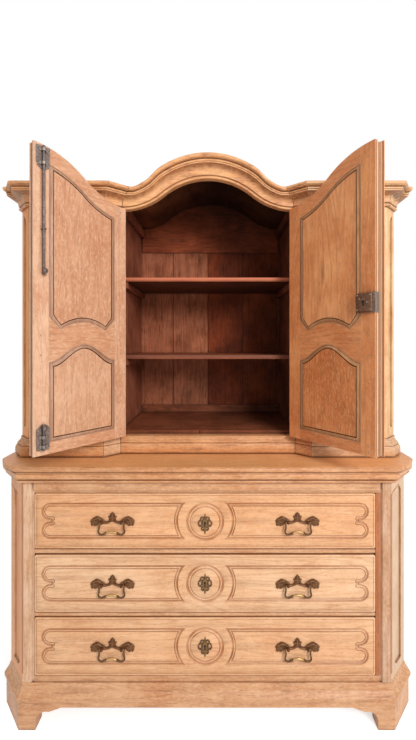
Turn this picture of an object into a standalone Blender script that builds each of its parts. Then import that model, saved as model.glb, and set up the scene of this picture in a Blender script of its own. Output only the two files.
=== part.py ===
"""Two-part oak buffet: a cupboard with an arched cornice and two open doors on a three-drawer commode.

Metres. X runs to the right, Y to the back, Z up. Each piece is drawn from the plane of the commode's front,
and one empty carries them all, so that the origin lies on the floor under the middle of the whole object.
"""

import math

import bmesh
import bpy
from mathutils import Vector

GAP = 0.0003  # between pieces that touch

# Commode
COMMODE_WIDTH = 1.405
COMMODE_DEPTH = 0.535
COMMODE_HEIGHT = 0.870
CORNER_CANT = 0.0875
TOP_THICK = 0.028
TOP_MOULDED = 0.058  # board and the moulding under it
TOP_OVERHANG = 0.026
POST_WIDTH = 0.125
POST_INNER = COMMODE_WIDTH / 2 - POST_WIDTH  # half of the drawer opening
POST_BEAD = 0.0105  # stepped edge of the posts and the frieze round the drawers
BEAD_DEPTH = 0.006
RAIL_THICK = 0.028
FRIEZE = 0.0375
DRAWERS_TALL = COMMODE_HEIGHT - 0.295  # the three openings together
DRAWER_OPENINGS = tuple(DRAWERS_TALL * share / 575 for share in (186, 193, 196))
DIVIDERS = (0.020, 0.016)
BOARD = 0.018
REAR_POST = 0.035
SIDE_FIELD = 0.007  # depth of the sunk fields on the sides
PLINTH_OUT = 0.014
FOOT_HEIGHT = 0.062

# Drawers
DRAWER_LEFT_GAP = 0.001
DRAWER_RIGHT_GAP = 0.014
DRAWER_FRONT = 0.024
DRAWER_SETBACK = 0.003
DRAWER_SIDE = 0.012
DRAWER_PLAY = 0.002
DRAWER_TRAVEL_ROOM = 0.020
RUNNER_UNDER_DRAWER = 0.050
GUIDE_STRIP_SETBACK = 0.011
MEDALLION_RADIUS = 0.0645
MEDALLION_BAND = 0.0150
PANEL_HALF_HEIGHT = 0.0628
PANEL_END = POST_INNER - 0.0275
PANEL_HOLLOW = 0.088  # radius of the panel's inner end, round the medallion
CUSP_ROUND = 0.0015
GROOVE_WIDTH = 0.012
GROOVE_DEPTH = 0.004
PULL_SPREAD = 0.309
PULL_PLATE = 0.003
PULL_POST = 0.033
PULL_POST_RADIUS = 0.0050
PULL_POST_LENGTH = 0.0150
BAIL_RADIUS = 0.0023
PIN_PLAY = 0.0004
ESCUTCHEON_THICK = 0.002
MEDALLION_DROPS = (0.003, 0.0, 0.0)  # under the middle of each drawer
ESCUTCHEON_DROPS = (0.009, 0.0, 0.0)

# Upper cupboard
UPPER_WIDTH = 1.375
UPPER_CANT = 0.045
FLANK_FRONT = 0.087  # set back from the commode's front
DOOR_PLANE = 0.129
JAMB = 0.3725  # half width to the splayed jamb's front edge
OPENING = 0.3235  # half width of the door opening
BASE_HEIGHT = 0.064
BASE_OUT = 0.010
FLOOR_THICK = 0.012
FLOOR_FRONT = 0.161
HEAD = 0.894  # door opening's height at its ends, from the commode's top
ARCH_RISE = 0.114
CORNICE_HEIGHT = 0.073
CORNICE_OUT = 0.050
CORNICE_BACK = 0.030
ROOF_THICK = 0.014
ROOF_DROP = 0.001  # the roof boards lie this far under the cornice's top
FLANK_THICK = 0.024
JAMB_THICK = 0.021
PILASTER = 0.600  # half width to the pilaster's inner edge
UPPER_SIDE = CORNICE_BACK
PARTITION = 0.330
PARTITION_THICK = 0.018
SHELVES = (0.345, 0.643)
SHELF_THICK = 0.015
SHELF_FRONT = 0.182
CLEAT = 0.018

# Doors
DOOR_THICK = 0.027
DOOR_BOTTOM = 0.069
DOOR_HEAD_GAP = 0.003
DOOR_SIDE_GAP = 0.0015
DOOR_MEETING_GAP = 0.002
STILE = 0.052
TOP_RAIL = 0.055
BOTTOM_RAIL = 0.041
LOWER_PANEL_SHOULDER = 0.273
LOWER_PANEL_PEAK = 0.328
UPPER_PANEL_NOTCH = 0.385
UPPER_PANEL_ARC = 0.411
UPPER_PANEL_SHOULDER = 0.421
NOTCH_IN = 0.031
PANEL_SETBACK = 0.008
PANEL_FIELD = 0.014
LEFT_OPEN = 131.0
RIGHT_OPEN = 129.0
BARREL_RADIUS = 0.0050
BARREL_IN = 0.0020
BARREL_PROUD = 0.0057
BARREL_HALF = 0.030
HINGES = (0.120, 0.700)  # heights above the door's bottom

# Bolts and lock
IRON = 0.0025
ROD_RADIUS = 0.004
ROD_PLAY = 0.0005
KNOB_RADIUS = 0.008
BOLT_FROM_EDGE = 0.028
TOP_BOLT_PLATE = (0.040, 0.072)
TOP_BOLT_LENGTH = 0.385
LOWER_BOLT_PLATE = (0.038, 0.078)
LOWER_BOLT_LENGTH = 0.078
BOLT_HOLE = 0.0056
LOCK_SIZE = (0.054, 0.058)
LOCK_THICK = 0.016
LOCK_HEIGHT = 0.429

SEGMENTS = 12


def material(name, colour, roughness, metallic=0.0):
    made = bpy.data.materials.new(name)
    made.use_nodes = True
    shader = made.node_tree.nodes["Principled BSDF"]
    shader.inputs["Base Color"].default_value = (*colour, 1.0)
    shader.inputs["Roughness"].default_value = roughness
    shader.inputs["Metallic"].default_value = metallic
    return made


def clear_scene():
    for old in list(bpy.data.objects):
        bpy.data.objects.remove(old, do_unlink=True)


clear_scene()
OAK = material("waxed_oak", (0.55, 0.31, 0.14), 0.55)
DARK_OAK = material("stained_oak", (0.14, 0.055, 0.028), 0.65)
IRONWORK = material("wrought_iron", (0.06, 0.05, 0.045), 0.5, 0.9)
BRASS = material("aged_brass", (0.22, 0.13, 0.06), 0.4, 0.95)


def empty(name, location, parent=None, turn=0.0):
    made = bpy.data.objects.new(name, None)
    made.location = location
    made.rotation_euler = (0.0, 0.0, math.radians(turn))
    made.parent = parent
    bpy.context.scene.collection.objects.link(made)
    return made


def add(name, points, faces, look, parent):
    mesh = bpy.data.meshes.new(name)
    mesh.from_pydata(points, [], faces)
    work = bmesh.new()
    work.from_mesh(mesh)
    bmesh.ops.recalc_face_normals(work, faces=work.faces)
    work.to_mesh(mesh)
    work.free()
    mesh.materials.append(look)
    made = bpy.data.objects.new(name, mesh)
    made.parent = parent
    bpy.context.scene.collection.objects.link(made)
    return made


def skin(name, rings, look, parent, loop=False):
    """A solid over rings of equal length: capped at both ends, or closed into a loop."""
    count = len(rings[0])
    points = [p for ring in rings for p in ring]
    faces = []
    for i in range(len(rings) if loop else len(rings) - 1):
        a = i * count
        b = (i + 1) % len(rings) * count
        for j in range(count):
            k = (j + 1) % count
            faces.append((a + j, a + k, b + k, b + j))
    if not loop:
        faces.append(tuple(range(count)))
        faces.append(tuple(range(len(points) - count, len(points))))
    return add(name, points, faces, look, parent)


def placed(axis, a, b, along):
    return {"x": (along, a, b), "y": (a, along, b), "z": (a, b, along)}[axis]


def prism(name, outline, low, high, axis, look, parent):
    """An outline drawn across the given axis and extruded along it."""
    rings = [[placed(axis, a, b, t) for a, b in outline] for t in (low, high)]
    return skin(name, rings, look, parent)


def box(name, x, y, z, look, parent):
    outline = [(x[0], y[0]), (x[1], y[0]), (x[1], y[1]), (x[0], y[1])]
    return prism(name, outline, z[0], z[1], "z", look, parent)


def circle(centre, radius, count=SEGMENTS):
    turns = [2 * math.pi * i / count for i in range(count)]
    return [(centre[0] + radius * math.cos(t), centre[1] + radius * math.sin(t)) for t in turns]


def arc(centre, radius, start, end, count):
    """Points on an arc, angles in degrees, both ends included."""
    turns = [math.radians(start + (end - start) * i / count) for i in range(count + 1)]
    return [(centre[0] + radius * math.cos(t), centre[1] + radius * math.sin(t)) for t in turns]


def boolean(target, other, operation):
    other.hide_render = True
    other.display_type = "WIRE"
    step = target.modifiers.new(other.name, "BOOLEAN")
    step.operation = operation
    step.solver = "EXACT"
    step.object = other
    return target


def cut(target, cutter):
    return boolean(target, cutter, "DIFFERENCE")


def join(target, other):
    return boolean(target, other, "UNION")


def smooth_closed(controls, steps):
    """A closed Catmull-Rom curve through a few control points."""
    count = len(controls)
    points = []
    for i in range(count):
        p0, p1, p2, p3 = (Vector(controls[(i + k) % count]) for k in (-1, 0, 1, 2))
        for s in range(steps):
            t = s / steps
            half = 2 * p1 + (p2 - p0) * t
            half += (2 * p0 - 5 * p1 + 4 * p2 - p3) * t**2
            half += (3 * p1 - p0 - 3 * p2 + p3) * t**3
            points.append(tuple(half / 2))
    return points


def mirrored(half):
    """A closed outline from its right half, which starts and ends on the axis."""
    return half + [(-x, z) for x, z in reversed(half[1:-1])]


def inset(outline, distance):
    """The outline moved inward by a small distance, corners mitred."""
    area = sum(a[0] * b[1] - b[0] * a[1] for a, b in zip(outline, outline[1:] + outline[:1]))
    side = 1.0 if area > 0 else -1.0
    moved = []
    for i, here in enumerate(outline):
        before = Vector(here) - Vector(outline[i - 1])
        after = Vector(outline[(i + 1) % len(outline)]) - Vector(here)
        n1 = Vector((-before.y, before.x)).normalized() * side
        n2 = Vector((-after.y, after.x)).normalized() * side
        mitre = (n1 + n2) / (1 + n1.dot(n2))
        moved.append(tuple(Vector(here) + mitre * distance))
    return moved


def mitres(path):
    """At each vertex of an open plan path, the vector that moves it outward by one."""
    normals = []
    for a, b in zip(path, path[1:]):
        run = (Vector(b) - Vector(a)).normalized()
        normals.append(Vector((run.y, -run.x)))
    out = [normals[0]]
    for n1, n2 in zip(normals, normals[1:]):
        out.append((n1 + n2) / (1 + n1.dot(n2)))
    return out + [normals[-1]]


def moulding(name, path, profile, look, parent):
    """A profile of (outward, height) points run along a plan path with mitred corners."""
    rings = []
    for (x, y), m in zip(path, mitres(path)):
        rings.append([(x + o * m.x, y + o * m.y, z) for o, z in profile])
    return skin(name, rings, look, parent)


def commode_outline(grow):
    """Plan of the commode with canted front corners, grown outward at the front and sides."""
    half = COMMODE_WIDTH / 2 + grow
    inner = COMMODE_WIDTH / 2 - CORNER_CANT + grow * (math.sqrt(2) - 1)
    turn = CORNER_CANT - grow * (math.sqrt(2) - 1)
    back = COMMODE_DEPTH + min(grow, 0.0)
    right = [(inner, -grow), (half, turn), (half, back)]
    return [(-x, y) for x, y in reversed(right)] + right


def opening_heights():
    """Bottom and top of each drawer opening, from the floor, top drawer first."""
    top = COMMODE_HEIGHT - TOP_MOULDED - FRIEZE
    found = []
    for height, below in zip(DRAWER_OPENINGS, (*DIVIDERS, 0.0)):
        found.append((top - height, top))
        top -= height + below
    return found


PLINTH_TOP = opening_heights()[-1][0] - DIVIDERS[0]
UNDER_TOP = COMMODE_HEIGHT - TOP_MOULDED


def commode_top(root):
    """Board with a thumbnail nose over a cove and bead, hollow underneath."""
    out = TOP_OVERHANG
    t = COMMODE_HEIGHT
    nose = [(0.020, 0.0235), (0.0245, 0.0215), (out, 0.0135), (0.0245, 0.005), (0.0190, 0.0)]
    cove = [(0.0045, 0.0420), (0.0070, 0.0385), (0.0120, 0.0325), (0.0170, 0.0290), (0.0170, 0.0255)]
    bead = [(0.0020, TOP_MOULDED), (0.0065, 0.0540), (0.0065, 0.0480)]
    hollow = [(-0.045, TOP_THICK), (-0.045, TOP_MOULDED)]
    rings = []
    for grow, down in hollow + bead + cove + nose:
        rings.append([(x, y, t - down) for x, y in commode_outline(grow)])
    return skin("commode_top", rings, OAK, root)


def bead_steps():
    """Stepped edge of a post or rail: (distance from the drawer, depth under the face)."""
    return [(0.0, BEAD_DEPTH), (0.5 * POST_BEAD, BEAD_DEPTH), (0.85 * POST_BEAD, 0.001), (POST_BEAD, 0.0)]


def frieze_rail(root):
    """Rail over the top drawer, with a stepped lower edge."""
    low = opening_heights()[0][1]
    section = [(0.0, UNDER_TOP - GAP), (RAIL_THICK, UNDER_TOP - GAP), (RAIL_THICK, low)]
    section += [(y, low + z) for z, y in bead_steps()]
    half = POST_INNER - GAP
    return prism("frieze_rail", section, -half, half, "x", OAK, root)


def divider(name, low, high, root):
    """Rail between two drawers, with a rounded front edge."""
    r = (high - low) / 2
    nose = [(0.004 + r - y, z) for y, z in arc((0.0, (low + high) / 2), r, -90, 90, 6)]
    section = [(0.095, low), *nose, (0.095, high)]
    right = POST_INNER - DRAWER_RIGHT_GAP - GAP
    return prism(name, section, -(POST_INNER - GAP), right, "x", OAK, root)


def bracket_cut(half, foot, height):
    """Outline of the open space between two bracket feet, with an ogee at each end."""
    end = arc((half - foot - 0.030, 0.030), 0.030, 0, 90, 4)
    lift = height - 0.060
    right = [(half - foot, -0.01), *end, (half - foot - 0.045, 0.060), (half - foot - 0.085, 0.060 + lift)]
    return right + [(-x, z) for x, z in reversed(right)]


def commode_plinth(root):
    """Base frame on three sides with bracket feet, and the bottom rail between the posts."""
    top = PLINTH_TOP
    out = PLINTH_OUT
    profile = [(-0.032, 0.0), (out, 0.0), (out, top - 0.050), (out + 0.006, top - 0.046)]
    profile += [(out + 0.006, top - 0.036), (out, top - 0.030), (0.006, top - 0.020)]
    profile += [(0.004, top - 0.008), (0.0, top), (-0.032, top)]
    plinth = moulding("commode_plinth", commode_outline(0.0), profile, OAK, root)
    front = bracket_cut(COMMODE_WIDTH / 2 - CORNER_CANT + 0.01, 0.060, FOOT_HEIGHT + 0.012)
    cut(plinth, prism("front_bracket_cut", front, -0.05, 0.05, "y", OAK, root))
    middle = (CORNER_CANT + COMMODE_DEPTH) / 2
    side = bracket_cut((COMMODE_DEPTH - CORNER_CANT) / 2, 0.060, FOOT_HEIGHT + 0.012)
    side = [(middle + y, z) for y, z in side]
    half = COMMODE_WIDTH / 2 + 0.05
    cut(plinth, prism("left_bracket_cut", side, -half, -half + 0.12, "x", OAK, root))
    cut(plinth, prism("right_bracket_cut", side, half - 0.12, half, "x", OAK, root))
    reach = POST_INNER - GAP
    tall = (top - 0.010, top + DIVIDERS[0])
    return join(plinth, box("bottom_rail", (-reach, reach), (0.004, 0.030), tall, OAK, root))


def side_plan(side):
    """Plan of a commode side: canted front post, thin panel and rear post in one."""
    half = COMMODE_WIDTH / 2
    outer = [(POST_INNER + x, y) for x, y in bead_steps()]
    outer += [(half - CORNER_CANT, 0.0), (half, CORNER_CANT), (half, COMMODE_DEPTH)]
    rear = [(half - REAR_POST, COMMODE_DEPTH), (half - REAR_POST, COMMODE_DEPTH - 0.060)]
    panel = [(half - BOARD, COMMODE_DEPTH - 0.060), (half - BOARD, 0.125)]
    post = [(half - 0.050, 0.105), (POST_INNER, RAIL_THICK + 0.002)]
    return [(side * x, y) for x, y in outer + rear + panel + post]


def cant_panel(name, side, middle, width, heights, depth, root):
    """Cutter for a sunk panel on a 45 degree corner, its upper end slanting to a point."""
    face = Vector(middle)
    along = Vector((1.0, 1.0)).normalized()
    out = Vector((1.0, -1.0)).normalized()
    low, high = heights
    w = width / 2
    outline = [(-w, low + 0.02), (-w + 0.02, low), (w, low), (w, high), (-w, high - 1.1 * width)]
    rings = []
    for reach in (-depth, 0.02):
        ring = []
        for a, z in outline:
            at = face + along * a + out * reach
            ring.append((side * at.x, at.y, z))
        rings.append(ring)
    return skin(name, rings, OAK, root)


def commode_side(name, side, root):
    """Post, panel and rear post with the three drawer runners."""
    low = PLINTH_TOP + GAP
    high = UNDER_TOP - GAP
    made = prism(name, side_plan(side), low, high, "z", OAK, root)
    half = COMMODE_WIDTH / 2
    inner = half - BOARD
    reach = sorted((side * (POST_INNER - RUNNER_UNDER_DRAWER), side * (inner + 0.004)))
    for i, (bottom, _) in enumerate(opening_heights()):
        ledge = box(f"{name}_runner_{i + 1}", reach, (0.118, 0.470), (bottom - 0.018, bottom), OAK, root)
        join(made, ledge)
    if side > 0:
        strip = (POST_INNER - DRAWER_RIGHT_GAP + DRAWER_LEFT_GAP, POST_INNER + 0.010)
        deep = (GUIDE_STRIP_SETBACK, RAIL_THICK)
        tall = (PLINTH_TOP + DIVIDERS[0] + GAP, opening_heights()[0][1] - GAP)
        join(made, box("guide_strip", strip, deep, tall, OAK, root))
    sunk = sorted((side * (half - SIDE_FIELD), side * (half + 0.010)))
    field = (low + 0.075, high - 0.060)
    cut(made, box(f"{name}_field", sunk, (0.150, COMMODE_DEPTH - 0.070), field, OAK, root))
    face = (half - CORNER_CANT / 2, CORNER_CANT / 2)
    flute = (low + 0.030, high - 0.006)
    return cut(made, cant_panel(f"{name}_flute", side, face, 0.062, flute, 0.007, root))


def commode_back(root):
    half = COMMODE_WIDTH / 2 - REAR_POST - GAP
    z = (PLINTH_TOP + GAP, UNDER_TOP - GAP)
    back = box("commode_back", (-half, half), (COMMODE_DEPTH - 0.016, COMMODE_DEPTH), z, OAK, root)
    for i in range(1, 5):
        x = -half + 2 * half * i / 5
        outside = COMMODE_DEPTH + 0.001
        joint = [(x - 0.004, outside), (x, COMMODE_DEPTH - 0.004), (x + 0.004, outside)]
        cut(back, prism(f"back_joint_{i}", joint, 0.0, COMMODE_HEIGHT, "z", OAK, root))
    return back


def scroll_panel(d):
    """Outline of the right-hand carved panel of a drawer front, moved inward by d."""
    d += CUSP_ROUND
    top = PANEL_HALF_HEIGHT - d
    hollow = PANEL_HOLLOW + d
    lobe = PANEL_HALF_HEIGHT / 2
    centre = PANEL_END - lobe
    swing = math.degrees(math.asin(top / hollow))
    inner = arc((0.0, 0.0), hollow, -swing, swing, 8)
    upper = arc((centre, lobe), lobe - d, 90, -90, 8)
    lower = arc((centre, -lobe), lobe - d, 90, -90, 8)
    cusp = arc((centre, 0.0), d, 90, 270, 4)[1:-1]
    return inner + upper + cusp + lower


def groove(name, outline, parent):
    """Cutter that runs a moulded channel round an outline given as a function of the inward distance."""
    section = [(0.0, -0.004), (0.0, 0.0005), (GROOVE_WIDTH * 0.25, GROOVE_DEPTH)]
    section += [(GROOVE_WIDTH * 0.75, GROOVE_DEPTH), (GROOVE_WIDTH, 0.0005), (GROOVE_WIDTH, -0.004)]
    rings = [[(x, depth, z) for x, z in outline(d)] for d, depth in section]
    return skin(name, rings, OAK, parent, loop=True)


def drawer_front(name, drawer, low, high, drop):
    """Carved front: a ring round the keyhole and a scroll-ended panel on each side of it."""
    half = (2 * POST_INNER - DRAWER_LEFT_GAP - DRAWER_RIGHT_GAP) / 2
    tall = (high - low) / 2 - DRAWER_PLAY / 2
    front = box(f"{name}_front", (-half, half), (0.0, DRAWER_FRONT), (-tall, tall), OAK, drawer)
    cut(front, groove(f"{name}_right_scroll", scroll_panel, drawer))
    cut(front, groove(f"{name}_left_scroll", lambda d: [(-x, z) for x, z in scroll_panel(d)], drawer))

    def ring(d):
        return circle((0.0, -drop), MEDALLION_RADIUS - d * MEDALLION_BAND / GROOVE_WIDTH, 32)

    cut(front, groove(f"{name}_medallion", ring, drawer))
    return front


def drawer_box(name, drawer, low, high):
    """Sides, back and bottom, open at the top and behind the front."""
    half = POST_INNER - DRAWER_RIGHT_GAP - 0.012
    tall = (high - low) / 2
    front = DRAWER_FRONT + GAP
    back = COMMODE_DEPTH - BOARD - DRAWER_TRAVEL_ROOM - DRAWER_SETBACK
    z = (-tall + GAP, tall - 0.020)
    tray = box(f"{name}_box", (-half, half), (front, back), z, DARK_OAK, drawer)
    room_y = (front - 0.01, back - DRAWER_SIDE)
    room_x = (-half + DRAWER_SIDE, half - DRAWER_SIDE)
    return cut(tray, box(f"{name}_room", room_x, room_y, (z[0] + 0.010, z[1] + 0.01), DARK_OAK, drawer))


def pull_outline():
    """Half of the cast backplate: a pointed leaf, a scroll like a moustache and a fan of leaves."""
    leaf = [(0.0, 0.0302), (0.0078, 0.0223), (0.0086, 0.0176), (0.0144, 0.0155), (0.0112, 0.0105)]
    scroll = [(0.0115, 0.0035), (0.0165, -0.0005), (0.0245, -0.0005), (0.0330, 0.0060), (0.0410, 0.0123)]
    curl = [(0.0500, 0.0158), (0.0570, 0.0152), (0.0610, 0.0115), (0.0665, 0.0100)]
    fan = [(0.0743, -0.0008), (0.0712, -0.0040), (0.0715, -0.0100), (0.0672, -0.0160), (0.0632, -0.0138)]
    under = [(0.0555, -0.0162), (0.0475, -0.0100), (0.0400, -0.0068), (0.0310, -0.0092), (0.0225, -0.0092)]
    return leaf + scroll + curl + fan + under + [(0.0120, -0.0062), (0.0, -0.0010)]


def pull_plate(name, drawer, x):
    """Backplate with two posts, drilled across for the bail's pins."""
    outline = [(x + a, b) for a, b in mirrored(pull_outline())]
    plate = prism(f"{name}_plate", outline, -PULL_PLATE - GAP, -GAP, "y", BRASS, drawer)
    reach = -PULL_PLATE - PULL_POST_LENGTH
    for end in (-1, 1):
        ring = circle((x + end * PULL_POST, 0.0), PULL_POST_RADIUS, 10)
        join(plate, prism(f"{name}_post_{end}", ring, reach, -PULL_PLATE / 2 - GAP, "y", BRASS, drawer))
    hole = circle((pull_axis(), 0.0), BAIL_RADIUS + PIN_PLAY, 8)
    wide = PULL_POST + 0.02
    return cut(plate, prism(f"{name}_hole", hole, x - wide, x + wide, "x", BRASS, drawer))


def pull_axis():
    """Depth of the bail's pivot in front of the drawer's face, as a Y coordinate."""
    return -PULL_PLATE - PULL_POST_LENGTH + PULL_POST_RADIUS + 0.001


def bail_path():
    """Centre line of the bail from pin to pin, (x, z) from its pivot line."""
    pin = [(PULL_POST - 0.004, 0.0), (PULL_POST + PULL_POST_RADIUS + 0.003, 0.0)]
    arm = [(0.0440, -0.0040), (0.0425, -0.0110), (0.0435, -0.0210), (0.0450, -0.0310), (0.0425, -0.0385)]
    foot = [(0.0345, -0.0432), (0.0265, -0.0408), (0.0213, -0.0385)]
    grip = [(0.0165, -0.0350), (0.0085, -0.0318), (0.0, -0.0306)]
    half = pin + arm + foot + grip
    return half + [(-x, z) for x, z in reversed(half[:-1])]


def bail(name, drawer, x):
    """Drop handle: a rod bent to a bracket shape, thicker at the grip, with its pins in the posts."""
    holder = empty(f"{name}_pivot", (x, pull_axis(), 0.0), drawer)
    path = [Vector((a, 0.0, b)) for a, b in bail_path()]
    rings = []
    for i, here in enumerate(path):
        run = (path[min(i + 1, len(path) - 1)] - path[max(i - 1, 0)]).normalized()
        side = Vector((0.0, 1.0, 0.0))
        up = run.cross(side)
        swell = 1.0 + 0.55 * max(0.0, 1.0 - abs(here.x) / 0.02)
        radius = BAIL_RADIUS * swell
        ring = []
        for t in range(6):
            turn = math.pi * t / 3
            ring.append(tuple(here + side * radius * math.cos(turn) + up * radius * math.sin(turn)))
        rings.append(ring)
    return skin(f"{name}_bail", rings, BRASS, holder)


def pierced_plate(name, outlines, thick, look, parent, location):
    """A flat plate from an outer outline and the outlines of its holes, standing in the XZ plane."""
    data = bpy.data.curves.new(name, "CURVE")
    data.dimensions = "2D"
    data.fill_mode = "BOTH"
    data.extrude = thick / 2
    for outline in outlines:
        spline = data.splines.new("POLY")
        spline.points.add(len(outline) - 1)
        spline.use_cyclic_u = True
        for point, (a, b) in zip(spline.points, outline):
            point.co = (a, b, 0.0, 1.0)
    data.materials.append(look)
    made = bpy.data.objects.new(name, data)
    made.location = location
    made.rotation_euler = (math.radians(90), 0.0, 0.0)
    made.parent = parent
    bpy.context.scene.collection.objects.link(made)
    return made


def escutcheon(name, drawer, drop):
    """Pierced keyhole plate with loops and a finial at each end."""
    upper = [(0.0, 0.034), (0.005, 0.027), (0.013, 0.026), (0.0155, 0.019), (0.012, 0.0135)]
    lower = [(0.020, 0.010), (0.023, 0.002), (0.018, -0.006), (0.0205, -0.012), (0.0150, -0.0185)]
    foot = [(0.009, -0.019), (0.005, -0.027), (0.0, -0.034)]
    outer = smooth_closed(mirrored(upper + lower + foot), 2)
    holes = []
    for x, z, r in ((0.0145, 0.0025, 0.0036), (0.0095, 0.0200, 0.0030), (0.0130, -0.0125, 0.0030)):
        holes += [circle((x, z), r, 8), circle((-x, z), r, 8)]
    key = arc((0.0, 0.006), 0.0036, -50, 230, 8) + [(-0.0016, -0.007), (0.0016, -0.007)]
    at = (0.0, -ESCUTCHEON_THICK / 2 - GAP, -drop)
    return pierced_plate(f"{name}_escutcheon", [outer, *holes, key], ESCUTCHEON_THICK, BRASS, drawer, at)


def drawer(name, low, high, drops, root):
    shift = (DRAWER_LEFT_GAP - DRAWER_RIGHT_GAP) / 2
    carrier = empty(f"{name}_slide", (shift, DRAWER_SETBACK, (low + high) / 2), root)
    drawer_front(name, carrier, low, high, drops[0])
    drawer_box(name, carrier, low, high)
    escutcheon(name, carrier, drops[1])
    for side, sign in (("left", -1), ("right", 1)):
        pull_plate(f"{name}_{side}", carrier, sign * PULL_SPREAD)
        bail(f"{name}_{side}", carrier, sign * PULL_SPREAD)


def upper_plan():
    """Right half of the upper body's plan, from the splayed jamb to the back."""
    half = UPPER_WIDTH / 2
    plan = [(OPENING, DOOR_PLANE), (JAMB, FLANK_FRONT), (half - UPPER_CANT, FLANK_FRONT)]
    plan += [(half, FLANK_FRONT + UPPER_CANT), (half, COMMODE_DEPTH)]
    return plan


def whole_plan():
    right = upper_plan()
    return [(-x, y) for x, y in reversed(right)] + right


def arch(x):
    """Height of the arched head over its ends, and its slope angle: two arcs that meet halfway."""
    radius = (OPENING**2 + ARCH_RISE**2) / (4 * ARCH_RISE)
    x = max(-OPENING, min(OPENING, x))
    if abs(x) <= OPENING / 2:
        return ARCH_RISE - radius + math.sqrt(radius**2 - x**2), -math.asin(x / radius)
    run = OPENING - abs(x)
    return radius - math.sqrt(radius**2 - run**2), -math.copysign(math.asin(run / radius), x)


def over_arch(x, above):
    """Point at a distance square to the arched head: (x, height over the head's ends)."""
    rise, slope = arch(x)
    return x - above * math.sin(slope), rise + above * math.cos(slope)


def upper_base(root):
    """Plinth of the cupboard on three sides, broken forward at the flanks, with the floor boards."""
    low = COMMODE_HEIGHT + GAP
    top = COMMODE_HEIGHT + BASE_HEIGHT
    out = BASE_OUT
    profile = [(-0.045, low), (out, low), (out, top - 0.017), (out - 0.002, top - 0.010)]
    profile += [(out - 0.006, top - 0.005), (0.001, top), (-0.045, top)]
    base = moulding("upper_base", whole_plan(), profile, OAK, root)
    half = PILASTER + 0.020
    floor_y = (FLOOR_FRONT, COMMODE_DEPTH - BOARD - GAP)
    floor = box("floor_boards", (-half, half), floor_y, (top - 0.006, top + FLOOR_THICK), DARK_OAK, root)
    join(base, floor)
    rod = circle((bolt_x(), bolt_y()), BOLT_HOLE)
    return cut(base, prism("bolt_socket", rod, top - 0.020, top + 0.05, "z", OAK, root))


def cornice_profile():
    """Outward and upward steps: bead, cove, fillet, quirk and top torus."""
    out = CORNICE_OUT
    bead = [(0.004, 0.0), (0.012, 0.003), (0.013, 0.009), (0.009, 0.013)]
    cove = [(0.004, 0.016), (0.006, 0.027), (0.013, 0.036), (0.027, 0.042)]
    fillet = [(0.033, 0.043), (0.033, 0.049), (0.038, 0.050)]
    torus = [(0.046, 0.054), (out, 0.061), (0.048, 0.069), (0.042, CORNICE_HEIGHT)]
    return bead + cove + fillet + torus


def cornice_inside(x, y):
    """Point on the cornice's inner line: straight behind the doors and flanks, then along the sides."""
    inner = UPPER_WIDTH / 2 - CORNICE_BACK
    return max(-inner, min(inner, x)), max(y, DOOR_PLANE + CORNICE_BACK)


def cornice(root):
    """Entablature and head rail in one: it follows the breaks of the plan and rises over the doors."""
    base = COMMODE_HEIGHT + HEAD
    plan = whole_plan()
    outward = mitres(plan)
    middle = len(plan) // 2
    stations = list(zip(plan[:middle], outward[:middle]))
    steps = 24
    for i in range(1, steps):
        x = OPENING * (2 * i / steps - 1)
        stations.append(((x, DOOR_PLANE), Vector((0.0, -1.0))))
    stations += zip(plan[middle:], outward[middle:])
    rings = []
    for (x, y), m in stations:
        ring = []
        for o, up in cornice_profile():
            px, pz = over_arch(x, up) if abs(x) < OPENING else (x, up)
            ring.append((px + o * m.x, y + o * m.y, base + pz))
        for up in (CORNICE_HEIGHT, 0.0):
            px, pz = over_arch(x, up) if abs(x) < OPENING else (x, up)
            ring.append((*cornice_inside(px, y), base + pz))
        rings.append(ring)
    return skin("cornice", rings, OAK, root)


def vault_points(above, half, steps=20):
    """The roof's line at a height over the head: flat at the sides, arched between."""
    line = [(-half, above)]
    line += [over_arch(OPENING * (2 * i / steps - 1), above) for i in range(steps + 1)]
    return line + [(half, above)]


def roof(root):
    """Roof boards: flat over the flanks and vaulted over the shelves."""
    base = COMMODE_HEIGHT + HEAD
    half = UPPER_WIDTH / 2 - CORNICE_BACK - GAP
    top = vault_points(CORNICE_HEIGHT - ROOF_DROP, half)
    under = vault_points(CORNICE_HEIGHT - ROOF_DROP - ROOF_THICK, half)
    outline = [(x, base + z) for x, z in top + under[::-1]]
    front = DOOR_PLANE + CORNICE_BACK + GAP
    return prism("roof", outline, front, COMMODE_DEPTH, "y", DARK_OAK, root)


def upper_back(root):
    """Back boards, arched at the top under the vault."""
    base = COMMODE_HEIGHT
    half = UPPER_WIDTH / 2 - UPPER_SIDE - GAP
    line = vault_points(CORNICE_HEIGHT - ROOF_DROP - ROOF_THICK - GAP, half)
    outline = [(x, base + HEAD + z) for x, z in line]
    low = base + BASE_HEIGHT + GAP
    outline += [(half, low), (-half, low)]
    return prism("upper_back", outline, COMMODE_DEPTH - BOARD, COMMODE_DEPTH, "y", DARK_OAK, root)


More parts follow.
